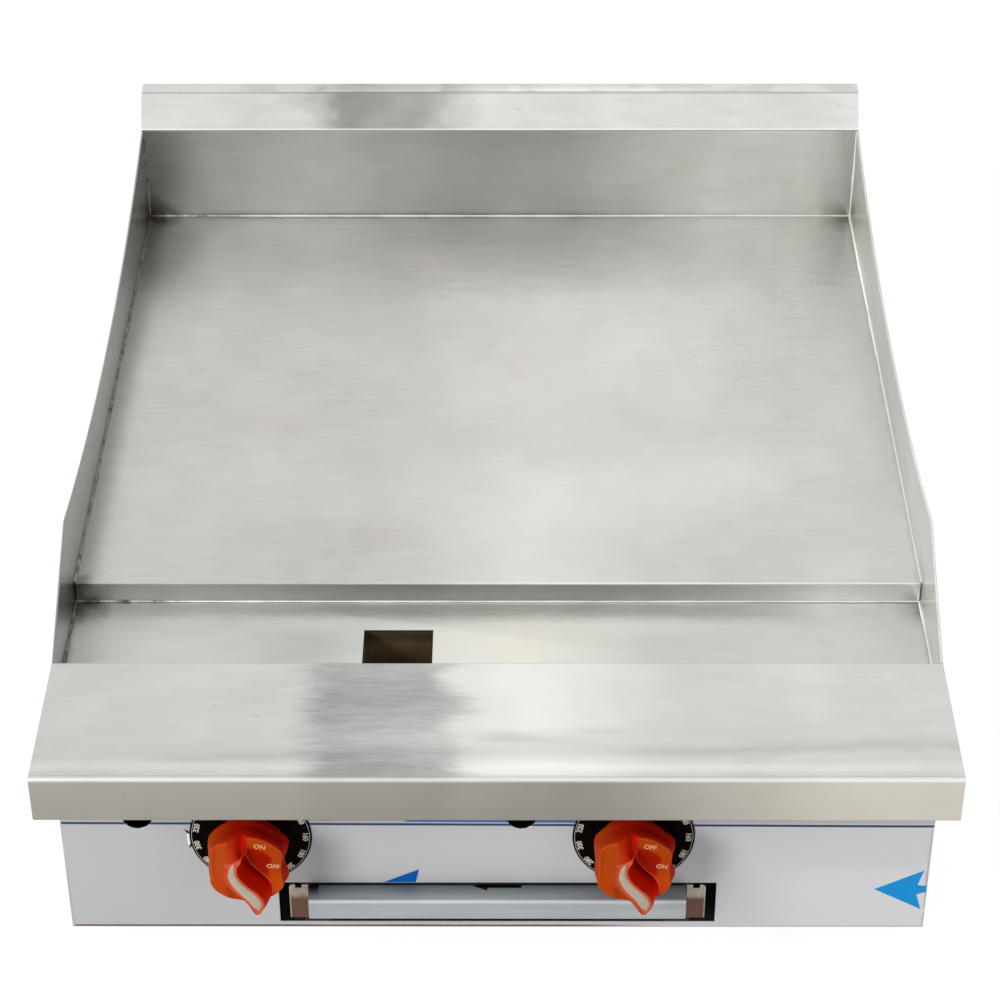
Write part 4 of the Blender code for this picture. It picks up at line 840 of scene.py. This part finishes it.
# Sideways places of the inner edges of the two petals by height.
right_petal_edge = softened([(-0.030, 0.0150), (-0.025, 0.0156), (-0.020, 0.0163),
                             (-0.016, 0.0168), (-0.012, 0.0164), (-0.008, 0.0145),
                             (-0.004, 0.0113), (0.0, 0.0077), (0.004, 0.0045),
                             (0.009, 0.0017), (0.013, 0.0004), (0.018, 0.0004),
                             (0.028, 0.0016)])
left_petal_edge = softened([(-0.030, -0.0120), (-0.012, -0.0150), (0.0043, -0.0158),
                            (0.0158, -0.0163), (0.0200, -0.0153), (0.0245, -0.0130),
                            (0.0280, -0.0092)])


def knob_depth(u, w):
    """Depth of the knob's face at u to the right of its axis and w above it.

    The petals stand at the rim's level, and two valleys cut them beside the ridge. Right of the
    ridge the wall is steep and the valley deep, and it opens out to the rim at the top. Left of
    it the flank is gentle. Above its fold the ridge is a ramp down to the rim.
    """
    beside = beside_ridge(u, w)
    from_right = u - right_petal_edge(w)
    from_left = left_petal_edge(w) - u
    dome = 0.0016 * (1 - np.clip(np.hypot(u, w) / KNOB_RIM, 0, 1) ** 2)
    petal = RIM_DEPTH + dome + 0.0021 * rise(-w, -0.002, 0.022)
    fold = ridge_fold(u)
    ramp = np.clip((w - fold) / (RAMP_FOOT - fold), 0, 1)
    crest = RIDGE_TOP + (RIM_DEPTH - 0.0010 - RIDGE_TOP) * ramp
    crest = crest - spout_drop(w)
    roll = np.clip((np.hypot(u, w) - 0.0225) / 0.0060, 0, 1) ** 2 * rise(w, 0.018, 0.024)
    roll = roll * rise(u, -0.0125, -0.0080) * rise(-u, -0.0020, 0.0016)
    crest = crest - 0.0030 * roll
    half = ridge_half(w)
    opening = rise(w, 0.0165, 0.0225)
    right_floor = RIGHT_VALLEY + 0.0058 * rise(-w, 0.008, 0.026)
    right_floor = right_floor + 0.0076 * rise(w, 0.008, 0.026)
    left_floor = LEFT_VALLEY + 0.0025 * rise(-w, -0.004, 0.020)
    right_wall = rise(beside, half - 0.0002 - 0.0050 * opening,
                             half + 0.0042 + 0.0020 * opening)
    left_wall = rise(-beside, half - 0.0002, half + 0.0090)
    right_side = right_floor + (petal - right_floor) * rise(from_right, -0.0058, 0.0004)
    left_side = left_floor + (petal - left_floor) * rise(from_left, -0.0050, 0.0010)
    right_side = right_side - 0.0030 * roll
    return crest + (right_side - crest) * right_wall + (left_side - crest) * left_wall


def wrapped(angle):
    """The angle brought between -pi and pi."""
    return np.angle(np.exp(1j * angle))


def knob_spout(angle):
    """How far the spout sticks out of the rim at an angle about the knob's axis."""
    return SPOUT_REACH * np.exp(-(wrapped(angle - SPOUT_TURN) / 0.19) ** 2)


def by_angle(turns, reach):
    """A function of an angle from a table of degrees and radii in millimetres."""
    table = list(zip(turns, reach))
    return lambda angle: 0.001 * flowing(table, np.degrees(wrapped(angle)))


# Rim radius: flattened and a little hollow at both sides, fuller at the corners.
knob_grip = by_angle(
    (-180, -165, -156, -148, -139, -130, -113, -100, -79, -58, -48, -38, -29, -20, -10, 0, 10,
     20, 30, 45, 60, 90, 107, 120, 135, 143, 150, 157, 165, 180),
    (24.5, 25.8, 27.8, 28.7, 28.9, 28.6, 28.4, 28.3, 28.3, 28.3, 28.4, 28.4, 27.7, 25.2, 23.5,
     23.1, 23.9, 25.7, 28.1, 28.2, 28.3, 28.4, 28.5, 29.0, 29.2, 29.1, 28.3, 26.7, 25.4, 24.5))

# Radius of the grip's rear part: hollow at its sides, fuller at its corners.
knob_rear = by_angle(
    (-180, -168, -158, -146, -132, -90, -46, -34, -22, -10, 0, 9, 18, 27, 41, 58, 90, 113, 127,
     144, 156, 166, 180),
    (26.6, 26.7, 27.4, 28.0, 28.0, 27.9, 28.0, 26.0, 24.4, 23.9, 24.2, 26.0, 28.2, 27.3, 25.4,
     25.4, 27.0, 27.5, 27.9, 28.5, 29.0, 27.9, 26.6))

# Share of the rear radius by depth: the knob's foot, its step and its full width.
KNOB_FOOT = [(0.0020, 0.76), (0.0085, 0.76), (0.0105, 0.81), (0.0120, 0.97), (0.0138, 1.0),
             (0.0190, 1.0), (0.0460, 1.0)]
# Radii and depths of the knob's underside: a hollow round its hub.
KNOB_HOLLOW = ((0.0185, REAR_DEPTH), (0.0185, 0.0140), (0.0086, 0.0140), (0.0086, REAR_DEPTH),
               (0.0044, REAR_DEPTH))


def knob_cheek(angle):
    """How far a cheek bulges from each side below its hollow, ahead of the middle."""
    right = wrapped(angle + radians(20)) / radians(14)
    left = wrapped(angle + radians(162)) / radians(14)
    return 0.0042 * np.exp(-right ** 2) + 0.0016 * np.exp(-left ** 2)


def make_knob(side, plastic, strip_ink, ink):
    """Face rows run from the axis to the rim, then side rows run back to the rear edge.

    face point = (r cos a, depth(r cos a, r sin a), r sin a), r from 0 to rim(a)
    side point = radius(depth) + spout(a) * fade(depth) + cheek(a) * bell(depth), straight back
    from the rim
    """
    centre = KNOB_AT[side]
    angle = np.linspace(0, 2 * pi, KNOB_STEPS, endpoint=False)
    spout, grip, skirt = knob_spout(angle), knob_grip(angle), knob_rear(angle)
    share = np.linspace(0, 1, KNOB_FACE_ROWS)[:, None]
    radius = share * (grip + spout - FACE_INSET)
    depth = knob_depth(radius * np.cos(angle), radius * np.sin(angle))

    fall = np.linspace(0, 1, KNOB_SIDE_ROWS)[1:, None]
    level = depth[-1] + (REAR_DEPTH - depth[-1]) * fall
    level = level - 0.0006 * rise(fall, 0.0, 0.03)
    fade = rise(level, 0.012, 0.033)
    taper = rise(level, 0.0190, 0.0300)
    side_radius = skirt * flowing(KNOB_FOOT, level) + spout * fade + (grip - skirt) * taper
    side_radius += knob_cheek(angle) * np.exp(-((level - CHEEK_DEPTH) / CHEEK_REACH) ** 2)
    hollow_radius, hollow_depth = np.array(KNOB_HOLLOW).T[:, :, None] * np.ones(KNOB_STEPS)
    radius = np.concatenate([radius, side_radius, hollow_radius])
    depth = np.concatenate([depth, level, hollow_depth])
    points = ahead(centre, radius * np.cos(angle), depth, radius * np.sin(angle))
    body = BODY_OF["knob_" + side]
    knob = surface("knob_body_" + side, points, plastic, body, smooth=75)
    mark_face(knob.data, centre)
    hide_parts("knob_" + side)

    strip = make_inlay(side, strip_ink)
    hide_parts("knob_inlay_" + side)
    for word, (u, w) in zip(WORDS[side], WORD_PLACES):
        letters = lettering(f"knob_{word.lower()}_{side}", word, LETTER_SIZE, ink, body,
                            bold=0.00010)
        set_down(letters, centre.x + u, 0.0, centre.z + w, WORD_TURN)
        lay_on_face(letters.data, centre)


def ahead(centre, u, depth, w):
    """Points u to the right of a knob's axis, w above it and a depth ahead of the panel."""
    return np.stack([u + centre.x, FACE_Y - depth, w + centre.z], axis=-1)


def places(mesh):
    """The mesh's vertices as an array."""
    points = np.empty(len(mesh.vertices) * 3)
    mesh.vertices.foreach_get("co", points)
    return points.reshape(-1, 3)


def mark_face(mesh, centre):
    """Keep three values on each vertex: its edge, partly rubbed wear and partly painted highlight;
    its lit share, painted light; and its glow, how bright its colour is, painted light and shade.

    edge = (depth - mean depth at four points 0.8 mm away) / 0.3 mm, and at least 0.75 on the
    border round the pointer strip, and 0 on the valley's walls and the ramp. The lit share is
    low in the right valley, on the ramp and in the right petal's middle, and falls from the left
    side round over the top, as painted shade away from the light. glow is 1, more in the valley
    and low on the petals, and less on the ramp and in the right petal's middle.
    """
    points = places(mesh)
    u, w = points[:, 0] - centre.x, points[:, 2] - centre.z
    depth = FACE_Y - points[:, 1]
    face = knob_depth(u, w)
    angle = np.arctan2(w, u)
    inside = knob_grip(angle) + knob_spout(angle) - np.hypot(u, w)
    on_face = (np.abs(depth - face) < 1e-4) & (inside > 0.0004)
    step = 0.0008
    mean = sum(knob_depth(u + a, w + b) for a, b in
               ((step, 0), (-step, 0), (0, step), (0, -step))) / 4
    beside, half = beside_ridge(u, w), ridge_half(w)
    border = (np.abs(beside) < half) & (w < ridge_fold(u) + 0.0004)
    # Edges: partly rubbed wear, partly painted highlight along rims and brinks.
    edge = np.maximum(np.clip((face - mean) / 0.00030, 0, 1), 0.75 * border)
    on_petal = (face > RIM_DEPTH - 0.0004) & (np.abs(beside) > half + 0.001)
    edge = np.maximum(edge, 0.6 * rise(-inside, -0.0016, -0.0006) * on_petal)
    from_right = u - right_petal_edge(w)
    above = rise(w - ridge_fold(u), 0.0002, 0.0012)
    flank = (from_right < -0.0006) * rise(beside - half, 0.0002, 0.0006)
    edge = edge * (1 - np.maximum(flank, above * (from_right < 0.0) * (u > -0.0120)))
    brink = np.exp(-(from_right / 0.0005) ** 2) * (beside > half) * (np.abs(w + 0.003) < 0.022)
    edge = np.maximum(edge, 0.5 * brink)
    valley = rise(-from_right, -0.0002, 0.0004) * (beside > half)
    ramp = rise(u, -0.0150, -0.0035) * above * rise(-from_right, -0.0002, 0.0004)
    core = rise(inside, 0.0070, 0.0100) * (from_right > 0) * rise(w, -0.010, 0.0)
    lit_face = 1 - np.maximum(np.maximum(0.94 * valley, ramp), 0.92 * core)
    wall = rise(from_right, -0.0065, -0.0020)
    # Painted light and shade: brighter in the valley, darker on the ramp and the petal's middle.
    glow = 1 + valley * (0.12 + 0.38 * wall) - 0.30 * core
    glow = glow - 0.36 * above * rise(u, -0.0095, -0.0015) * (from_right < 0)
    glow = glow + 0.14 * rise(-u, 0.012, 0.018) * rise(-w, -0.004, 0.010)
    glow = glow + 0.22 * rise(from_right, 0.0, 0.002) * rise(-w, 0.001, 0.006)
    # Painted light on the sides: orange on the left and a little below, deep red right and on top.
    lit_side = 0.06 + 0.80 * rise(-np.cos(angle), 0.15, 0.95)
    lit_side = lit_side + 0.30 * rise(-np.sin(angle), 0.0, 0.3)
    lit_share = np.where(on_face, lit_face, lit_side)
    for name, value in (("edge", np.where(on_face, edge, 0)), ("lit_share", np.clip(lit_share, 0, 1)),
                        ("glow", np.where(on_face, glow, 1))):
        attribute = mesh.attributes.new(name, "FLOAT", "POINT")
        attribute.data.foreach_set("value", value.astype(np.float32))


def lay_on_face(mesh, centre):
    """Push flat letters out until they lie on the knob's curved face."""
    points = places(mesh)
    lie = knob_depth(points[:, 0] - centre.x, points[:, 2] - centre.z)
    points[:, 1] -= lie + LETTER_LIFT
    mesh.vertices.foreach_set("co", points.ravel())


def make_inlay(side, ink):
    """The cream strip on the ridge: a flat band along the ridge's S with pointed ends.

    point = ridge(w) + across * half(w) * s, s from -1 to 1, raised by 0.3 mm in its middle
    """
    centre = KNOB_AT[side]
    w = np.linspace(STRIP_TOP, STRIP_FOOT, 84)
    across = np.stack([np.ones_like(w), -ridge_slope(w)], axis=-1)
    across /= np.linalg.norm(across, axis=1)[:, None]
    half = np.clip(ridge_half(w) - 0.0013, 0.00005, None)
    half = half * rise(STRIP_TOP - w, -0.0004, 0.006)
    half = half * rise(w, -0.0282, -0.0225) + 0.00005
    s = np.array([-1.0, -0.9, 0.0, 0.9, 1.0])
    lift = np.array([0.0, 0.00022, 0.00028, 0.00022, 0.0]) + RIDGE_TOP + 0.00002
    u = ridge_line(w)[:, None] + across[:, :1] * half[:, None] * s
    high = w[:, None] + across[:, 1:] * half[:, None] * s
    points = ahead(centre, u, lift - spout_drop(w)[:, None], high)
    return surface("pointer_strip_" + side, points, ink, BODY_OF["knob_" + side], True, 60)


def lettering(name, text, size, ink, body="chassis", bold=0.00018):
    """Plain raised letters, made a mesh that lies in the XY plane."""
    curve = bpy.data.curves.new(name, "FONT")
    curve.body = text
    curve.size = size
    curve.align_x = curve.align_y = "CENTER"
    curve.extrude = 0.00006
    curve.offset = bold
    curve.resolution_u = 3
    mesh = from_curve(curve)
    mesh.name = name
    return add_piece(name, tidy(mesh), ink, body, smooth=None)


def set_down(made, x, depth, z, turn):
    """Stand flat letters up against the front, turned clockwise by the angle in degrees."""
    upright = Matrix.Rotation(pi / 2, 4, "X") @ Matrix.Rotation(radians(-turn), 4, "Z")
    made.data.transform(Matrix.Translation((x, FACE_Y - depth, z)) @ upright)


DIAL_RADIUS = 0.0415
DIAL_STEPS = 128             # round the dial
DIAL_MARKS = 15
DIAL_FIRST_TURN = 18.0       # degrees clockwise from the top
DIAL_HOLE = 0.0075
DIAL_SINK = 0.0002           # how far its face lies behind its rolled edge
NUMBER_RADIUS = 0.0370
NUMBER_SIZE = 0.0052


def make_dial(side, enamel, ink):
    """Black dial: a flat disc with a rolled edge, a thin cream ring and plain numbers."""
    centre = KNOB_AT[side]
    low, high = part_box("dial_plate_" + side)
    at = (centre.x, high.y, centre.z)
    thick = high.y - low.y
    face = thick - DIAL_SINK
    edge = DIAL_RADIUS
    profile = [(DIAL_HOLE, 0.0), (edge - 0.0002, 0.0), (edge, 0.0002), (edge, thick - 0.0004),
               (edge - 0.0003, thick - 0.0001), (edge - 0.0006, thick), (edge - 0.0012, face),
               (DIAL_HOLE, face), (DIAL_HOLE, 0.0)]
    disc = surface("dial_" + side, around(profile, at), enamel, smooth=35)
    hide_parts("dial_plate_" + side)
    inner, outer = edge - 0.0016, edge - 0.0013
    under, over = thick - 0.00022, thick - 0.00012
    ring = [(inner, under), (inner, over), (outer, over), (outer, under), (inner, under)]
    surface("dial_ring_" + side, around(ring, at), ink, smooth=35)
    depth = FACE_Y - low.y - DIAL_SINK
    for index in range(DIAL_MARKS):
        turn = DIAL_FIRST_TURN + 360 / DIAL_MARKS * index
        number = lettering(f"dial_{side}_{index + 1}", str(100 + 20 * index), NUMBER_SIZE, ink)
        set_down(number, centre.x + NUMBER_RADIUS * sin(radians(turn)), depth,
                 centre.z + NUMBER_RADIUS * cos(radians(turn)), turn)


# ======== film on the front panel
FILM_T = 0.00012
FILM_SEAM_Z = 0.1180
FILM_EDGE = 0.0012           # how far the film stops short of the panel's sides
FILM_GAP = 0.00003           # between the panel and the film
INK_T = 0.00003
INK_DEPTH = FILM_T + 2 * FILM_GAP    # just clear of the film's face
LIGHT_HOLE_RADIUS = 0.0100


def ragged(length, seed):
    """Sideways wander of a torn edge: a sum of sines, with sharper nicks now and then."""
    t = np.arange(0, length, 0.002)
    rates = np.array([41.0, 133.0, 417.0, 911.0]) * (1 + 0.07 * seed)
    parts = np.array([1.0, 0.6, 0.35, 0.2])
    phase = seed * np.arange(1, 5)
    wander = (parts[:, None] * np.sin(np.outer(rates, t) + phase[:, None])).sum(0)
    nick = np.maximum(np.sin(t * 57.0 + seed) - 0.93, 0) * 22
    return t, 0.0006 * (wander + nick)


def flat_piece(name, loops, depth, thick, finish):
    """A thin flat piece against the front panel, from loops of (x, z) points.

    The first loop is its outline. A loop within it is a hole, and one beside it an island.
    """
    curve = bpy.data.curves.new(name, "CURVE")
    curve.dimensions = "2D"
    curve.fill_mode = "BOTH"
    curve.extrude = thick / 2
    for loop in loops:
        spline = curve.splines.new("POLY")
        spline.points.add(len(loop) - 1)
        flat = np.column_stack([loop, np.zeros(len(loop)), np.ones(len(loop))])
        spline.points.foreach_set("co", flat.ravel())
        spline.use_cyclic_u = True
    mesh = from_curve(curve)
    mesh.transform(Matrix.Translation((0, FACE_Y - depth - thick / 2, 0))
                   @ Matrix.Rotation(pi / 2, 4, "X"))
    add_piece(name, tidy(mesh), finish, smooth=None)


def circle(x, z, radius, steps=64, rough=0.0):
    """Points round a circle, with a ragged radius if asked."""
    a = np.linspace(0, 2 * pi, steps, endpoint=False)
    wave = np.sin(a * 7 + x * 90) + 0.7 * np.sin(a * 17 + 2) + 0.5 * np.sin(a * 29 + 4)
    reach = radius + rough * (wave + 1.2)
    return np.column_stack([x + reach * np.cos(a), z + reach * np.sin(a)])


def make_film():
    """The film's outline has torn sides, and holes for the drawer, lighting holes and dials."""
    low = PANEL_LOW.z + 0.0008
    height = APRON_LOW.z + 0.012 - low
    edge = PANEL_HIGH.x - FILM_EDGE
    t, left = ragged(height, 1.0)
    right = ragged(height, 2.3)[1]
    outline = np.concatenate([np.column_stack([edge + right, low + t]),
                              np.column_stack([-edge + left, low + t])[::-1]])
    x = TAB_HIGH.x + 0.0072
    sill, lintel = TAB_LOW.z - 0.0027, TAB_HIGH.z + 0.0012
    loops = [outline, np.array([(-x, sill), (x, sill), (x, lintel), (-x, lintel)])]
    for side in SIDES:
        near_corner, far_corner = HOLE_BOX["light_hole_" + side]
        loops.append(circle((near_corner[0] + far_corner[0]) / 2,
                            (near_corner[2] + far_corner[2]) / 2, LIGHT_HOLE_RADIUS))
        knob = KNOB_AT[side]
        loops.append(circle(knob.x, knob.z, DIAL_RADIUS - 0.0012, 96, 0.0006))
    flat_piece("panel_film", loops, FILM_GAP, FILM_T, panel_film())


def make_prints():
    """Two blue arrow heads, the second cut off by the drawer's opening, and a tear by a dial."""
    sill = TAB_HIGH.z + 0.0016
    arrow = [(0.2590, 0.0573), (0.2922, 0.0748), (0.2886, 0.0612), (0.2948, 0.0603),
             (0.2950, 0.0549), (0.2885, 0.0524), (0.2925, 0.0385)]
    wedge = [(-0.0781, sill), (-0.0535, 0.0757), (-0.0560, sill)]
    tear = [(-0.2097, 0.0974), (-0.2105, 0.1032), (-0.2100, 0.1096), (-0.2084, 0.1076),
            (-0.2089, 0.1024), (-0.2079, 0.0987)]
    nick = [(-0.2118, 0.1125), (-0.2102, 0.1090), (-0.2082, 0.1078), (-0.2088, 0.1106)]
    hook = [(-0.2096, 0.0960), (-0.2082, 0.1004), (-0.2073, 0.1000), (-0.2081, 0.0958)]
    for name, loops, depth, ink, colour in (
            ("print_arrow_right", [arrow], INK_DEPTH, "print_azure", (0.010, 0.26, 0.62)),
            ("print_arrow_middle", [wedge], INK_DEPTH, "print_blue", (0.002, 0.10, 0.40)),
            ("film_tear", [tear], INK_DEPTH, "film_torn_edge", (0.86, 0.86, 0.86)),
            # Painted shadow under the torn flap.
            ("film_tear_shadow", [nick, hook], INK_DEPTH + 0.00005, "film_tear_dark",
             (0.02, 0.02, 0.02))):
        flat_piece(name, loops, depth, INK_T, film_ink(ink, colour))


# ======== the casing and what it holds
def dress_cooking_top():
    plate = sheet_steel("plate_steel", 0.95, marks=plate_marks, brush=0.7)
    # The back and the cap carry a painted light sweep, brighter towards the right.
    back = sheet_steel("back_steel", 1.15, 0.34, marks=back_marks, light_sweep=0.4, brush=0.25)
    cap = sheet_steel("cap_steel", 1.12, marks=cap_marks, light_sweep=0.06, brush=0.3)
    trough = sheet_steel("trough_steel", 0.95, 0.34, marks=trough_marks, brush=0.4)
    apron = sheet_steel("apron_steel", 0.96, marks=apron_marks, brush=0.4)
    dressed("griddle_plate", plate, 0.0006, 3)
    # Painted light: the left splash is made much darker and the right one much lighter.
    dressed("side_splash_left", sheet_steel("splash_left", 0.48, 0.28, "Y", wall_marks))
    dressed("side_splash_right", sheet_steel("splash_right", 1.36, 0.30, "Y", wall_marks))
    dressed("backsplash", back)
    dressed("flue_cap", cap, 0.0005)
    dressed("drip_trough", trough)
    dressed("apron", apron, 0.0012, 4)


def dress_body():
    panel = sheet_steel("panel_steel", 0.95)
    upright = sheet_steel("upright_steel", 0.92, 0.32, "Z")
    inner = plain_metal("aluminised", (0.50, 0.50, 0.49), 0.42, 60)
    dressed("front_panel", panel)
    dressed("side_panel_left", upright)
    dressed("side_panel_right", upright)
    dressed("rear_panel", panel)
    for node in ("base_pan", "plate_rail_left", "plate_rail_right", "heat_shield",
                 "drawer_runner_left", "drawer_runner_right", "burner_rail_front",
                 "burner_rail_rear", "manifold_bracket_left", "manifold_bracket_right"):
        dressed(node, inner, 0.0002)
    dressed("grease_chute", chute_steel(), 0.0002)


def dress_drawer():
    dressed("grease_drawer", plain_metal("tray_steel", (0.42, 0.42, 0.40), 0.40, 40), 0.0002)
    dressed("drawer_front", tab_steel())
    dressed("drawer_handle", handle_film())


def dress_gas_parts():
    brass = plain_metal("brass", (0.66, 0.48, 0.20), 0.30, 90)
    pipe = plain_metal("black_pipe", (0.14, 0.14, 0.14), 0.50)
    burner = plain_metal("burner_steel", (0.26, 0.25, 0.24), 0.55, 50)
    zinc = plain_metal("zinc", (0.60, 0.61, 0.63), 0.32)
    for side in SIDES:
        dressed("gas_valve_" + side, brass, 0.0004)
        dressed("orifice_" + side, brass)
        dressed("burner_" + side, burner, 0)
        dressed("air_shutter_" + side, zinc, 0)
        dressed("valve_stem_" + side, zinc)
    for node in ("gas_manifold", "manifold_elbow", "supply_pipe"):
        dressed(node, pipe, 0.0002)
    for node in ("manifold_plug", "gas_inlet"):
        dressed(node, brass)
    for node in NODES:
        if "screw" in node:
            dressed(node, zinc)
        elif node.startswith("foot_"):
            dressed(node, rubber(), 0.0006, 3)


# ======== camera, light and floor
CAMERA_PLACE = (0.00886, -1.73126, 1.40085)
CAMERA_PITCH = 54.21
CAMERA_YAW = 0.26
CAMERA_ROLL = -0.14
CAMERA_LENS = 100.8
CAMERA_SENSOR = 36.0


def make_camera():
    data = bpy.data.cameras.new("camera")
    data.lens = CAMERA_LENS
    data.sensor_width = CAMERA_SENSOR
    camera = shown("camera", data)
    turn = Matrix.Identity(4)
    for degrees, axis in ((CAMERA_YAW, "Z"), (CAMERA_PITCH, "X"), (CAMERA_ROLL, "Z")):
        turn = turn @ Matrix.Rotation(radians(degrees), 4, axis)
    camera.matrix_world = Matrix.Translation(CAMERA_PLACE) @ turn
    bpy.context.scene.camera = camera


def make_lamp(name, place, target, size, watts):
    data = bpy.data.lights.new(name, "AREA")
    data.shape = "RECTANGLE"
    data.size, data.size_y = size
    data.energy = watts
    lamp = shown(name, data)
    lamp.location = place
    lamp.rotation_euler = (Vector(target) - Vector(place)).to_track_quat("-Z", "Y").to_euler()


def make_light():
    """Three lamps, dim ambient light, and a white backdrop for what is seen or mirrored."""
    make_lamp("key", (-2.1, -2.2, 1.5), (0, -0.2, 0.12), (1.1, 1.1), 60)
    make_lamp("fill", (1.9, -1.4, 1.6), (0, 0, 0.12), (1.4, 1.4), 9)
    make_lamp("band", (0.10, 1.55, 1.70), (0.02, -0.25, 0.2), (0.40, 0.95), 1.0)
    world = bpy.data.worlds.new("studio")
    bpy.context.scene.world = world
    nodes = Nodes(world)
    ambient, backdrop = (nodes.node("Background", {"Color": WHITE, "Strength": strength})
                         for strength in (0.50, 1.0))
    seen = nodes.seen_by("Camera", "Glossy", "Transmission")
    nodes.close("World", nodes.node("MixShader", {0: seen, 1: ambient, 2: backdrop}))
    bpy.context.scene.view_settings.view_transform = "Standard"


def make_floor():
    half = 6.0
    mesh = bpy.data.meshes.new("studio_floor")
    mesh.from_pydata([(-half, -half, 0), (half, -half, 0), (half, half, 0), (-half, half, 0)],
                     [], [(0, 1, 2, 3)])
    mesh.materials.append(white_paper())
    floor = shown("studio_floor", mesh)
    floor.location.z = solid_box[0].z


# ======== the whole scene
make_camera()
dress_cooking_top()
make_welds()
dress_body()
dress_drawer()
dress_gas_parts()
plastic = knob_plastic()
enamel = dial_enamel()
strip_ink = cream_ink("cream_strip", (0.47, 0.405, 0.315))
letter_ink = cream_ink("peach_letters", (0.84, 0.42, 0.20))
dial_ink = cream_ink("cream_marks", (0.66, 0.63, 0.54))
for side in SIDES:
    make_knob(side, plastic, strip_ink, letter_ink)
    make_dial(side, enamel, dial_ink)
make_film()
make_prints()
make_light()
make_floor()
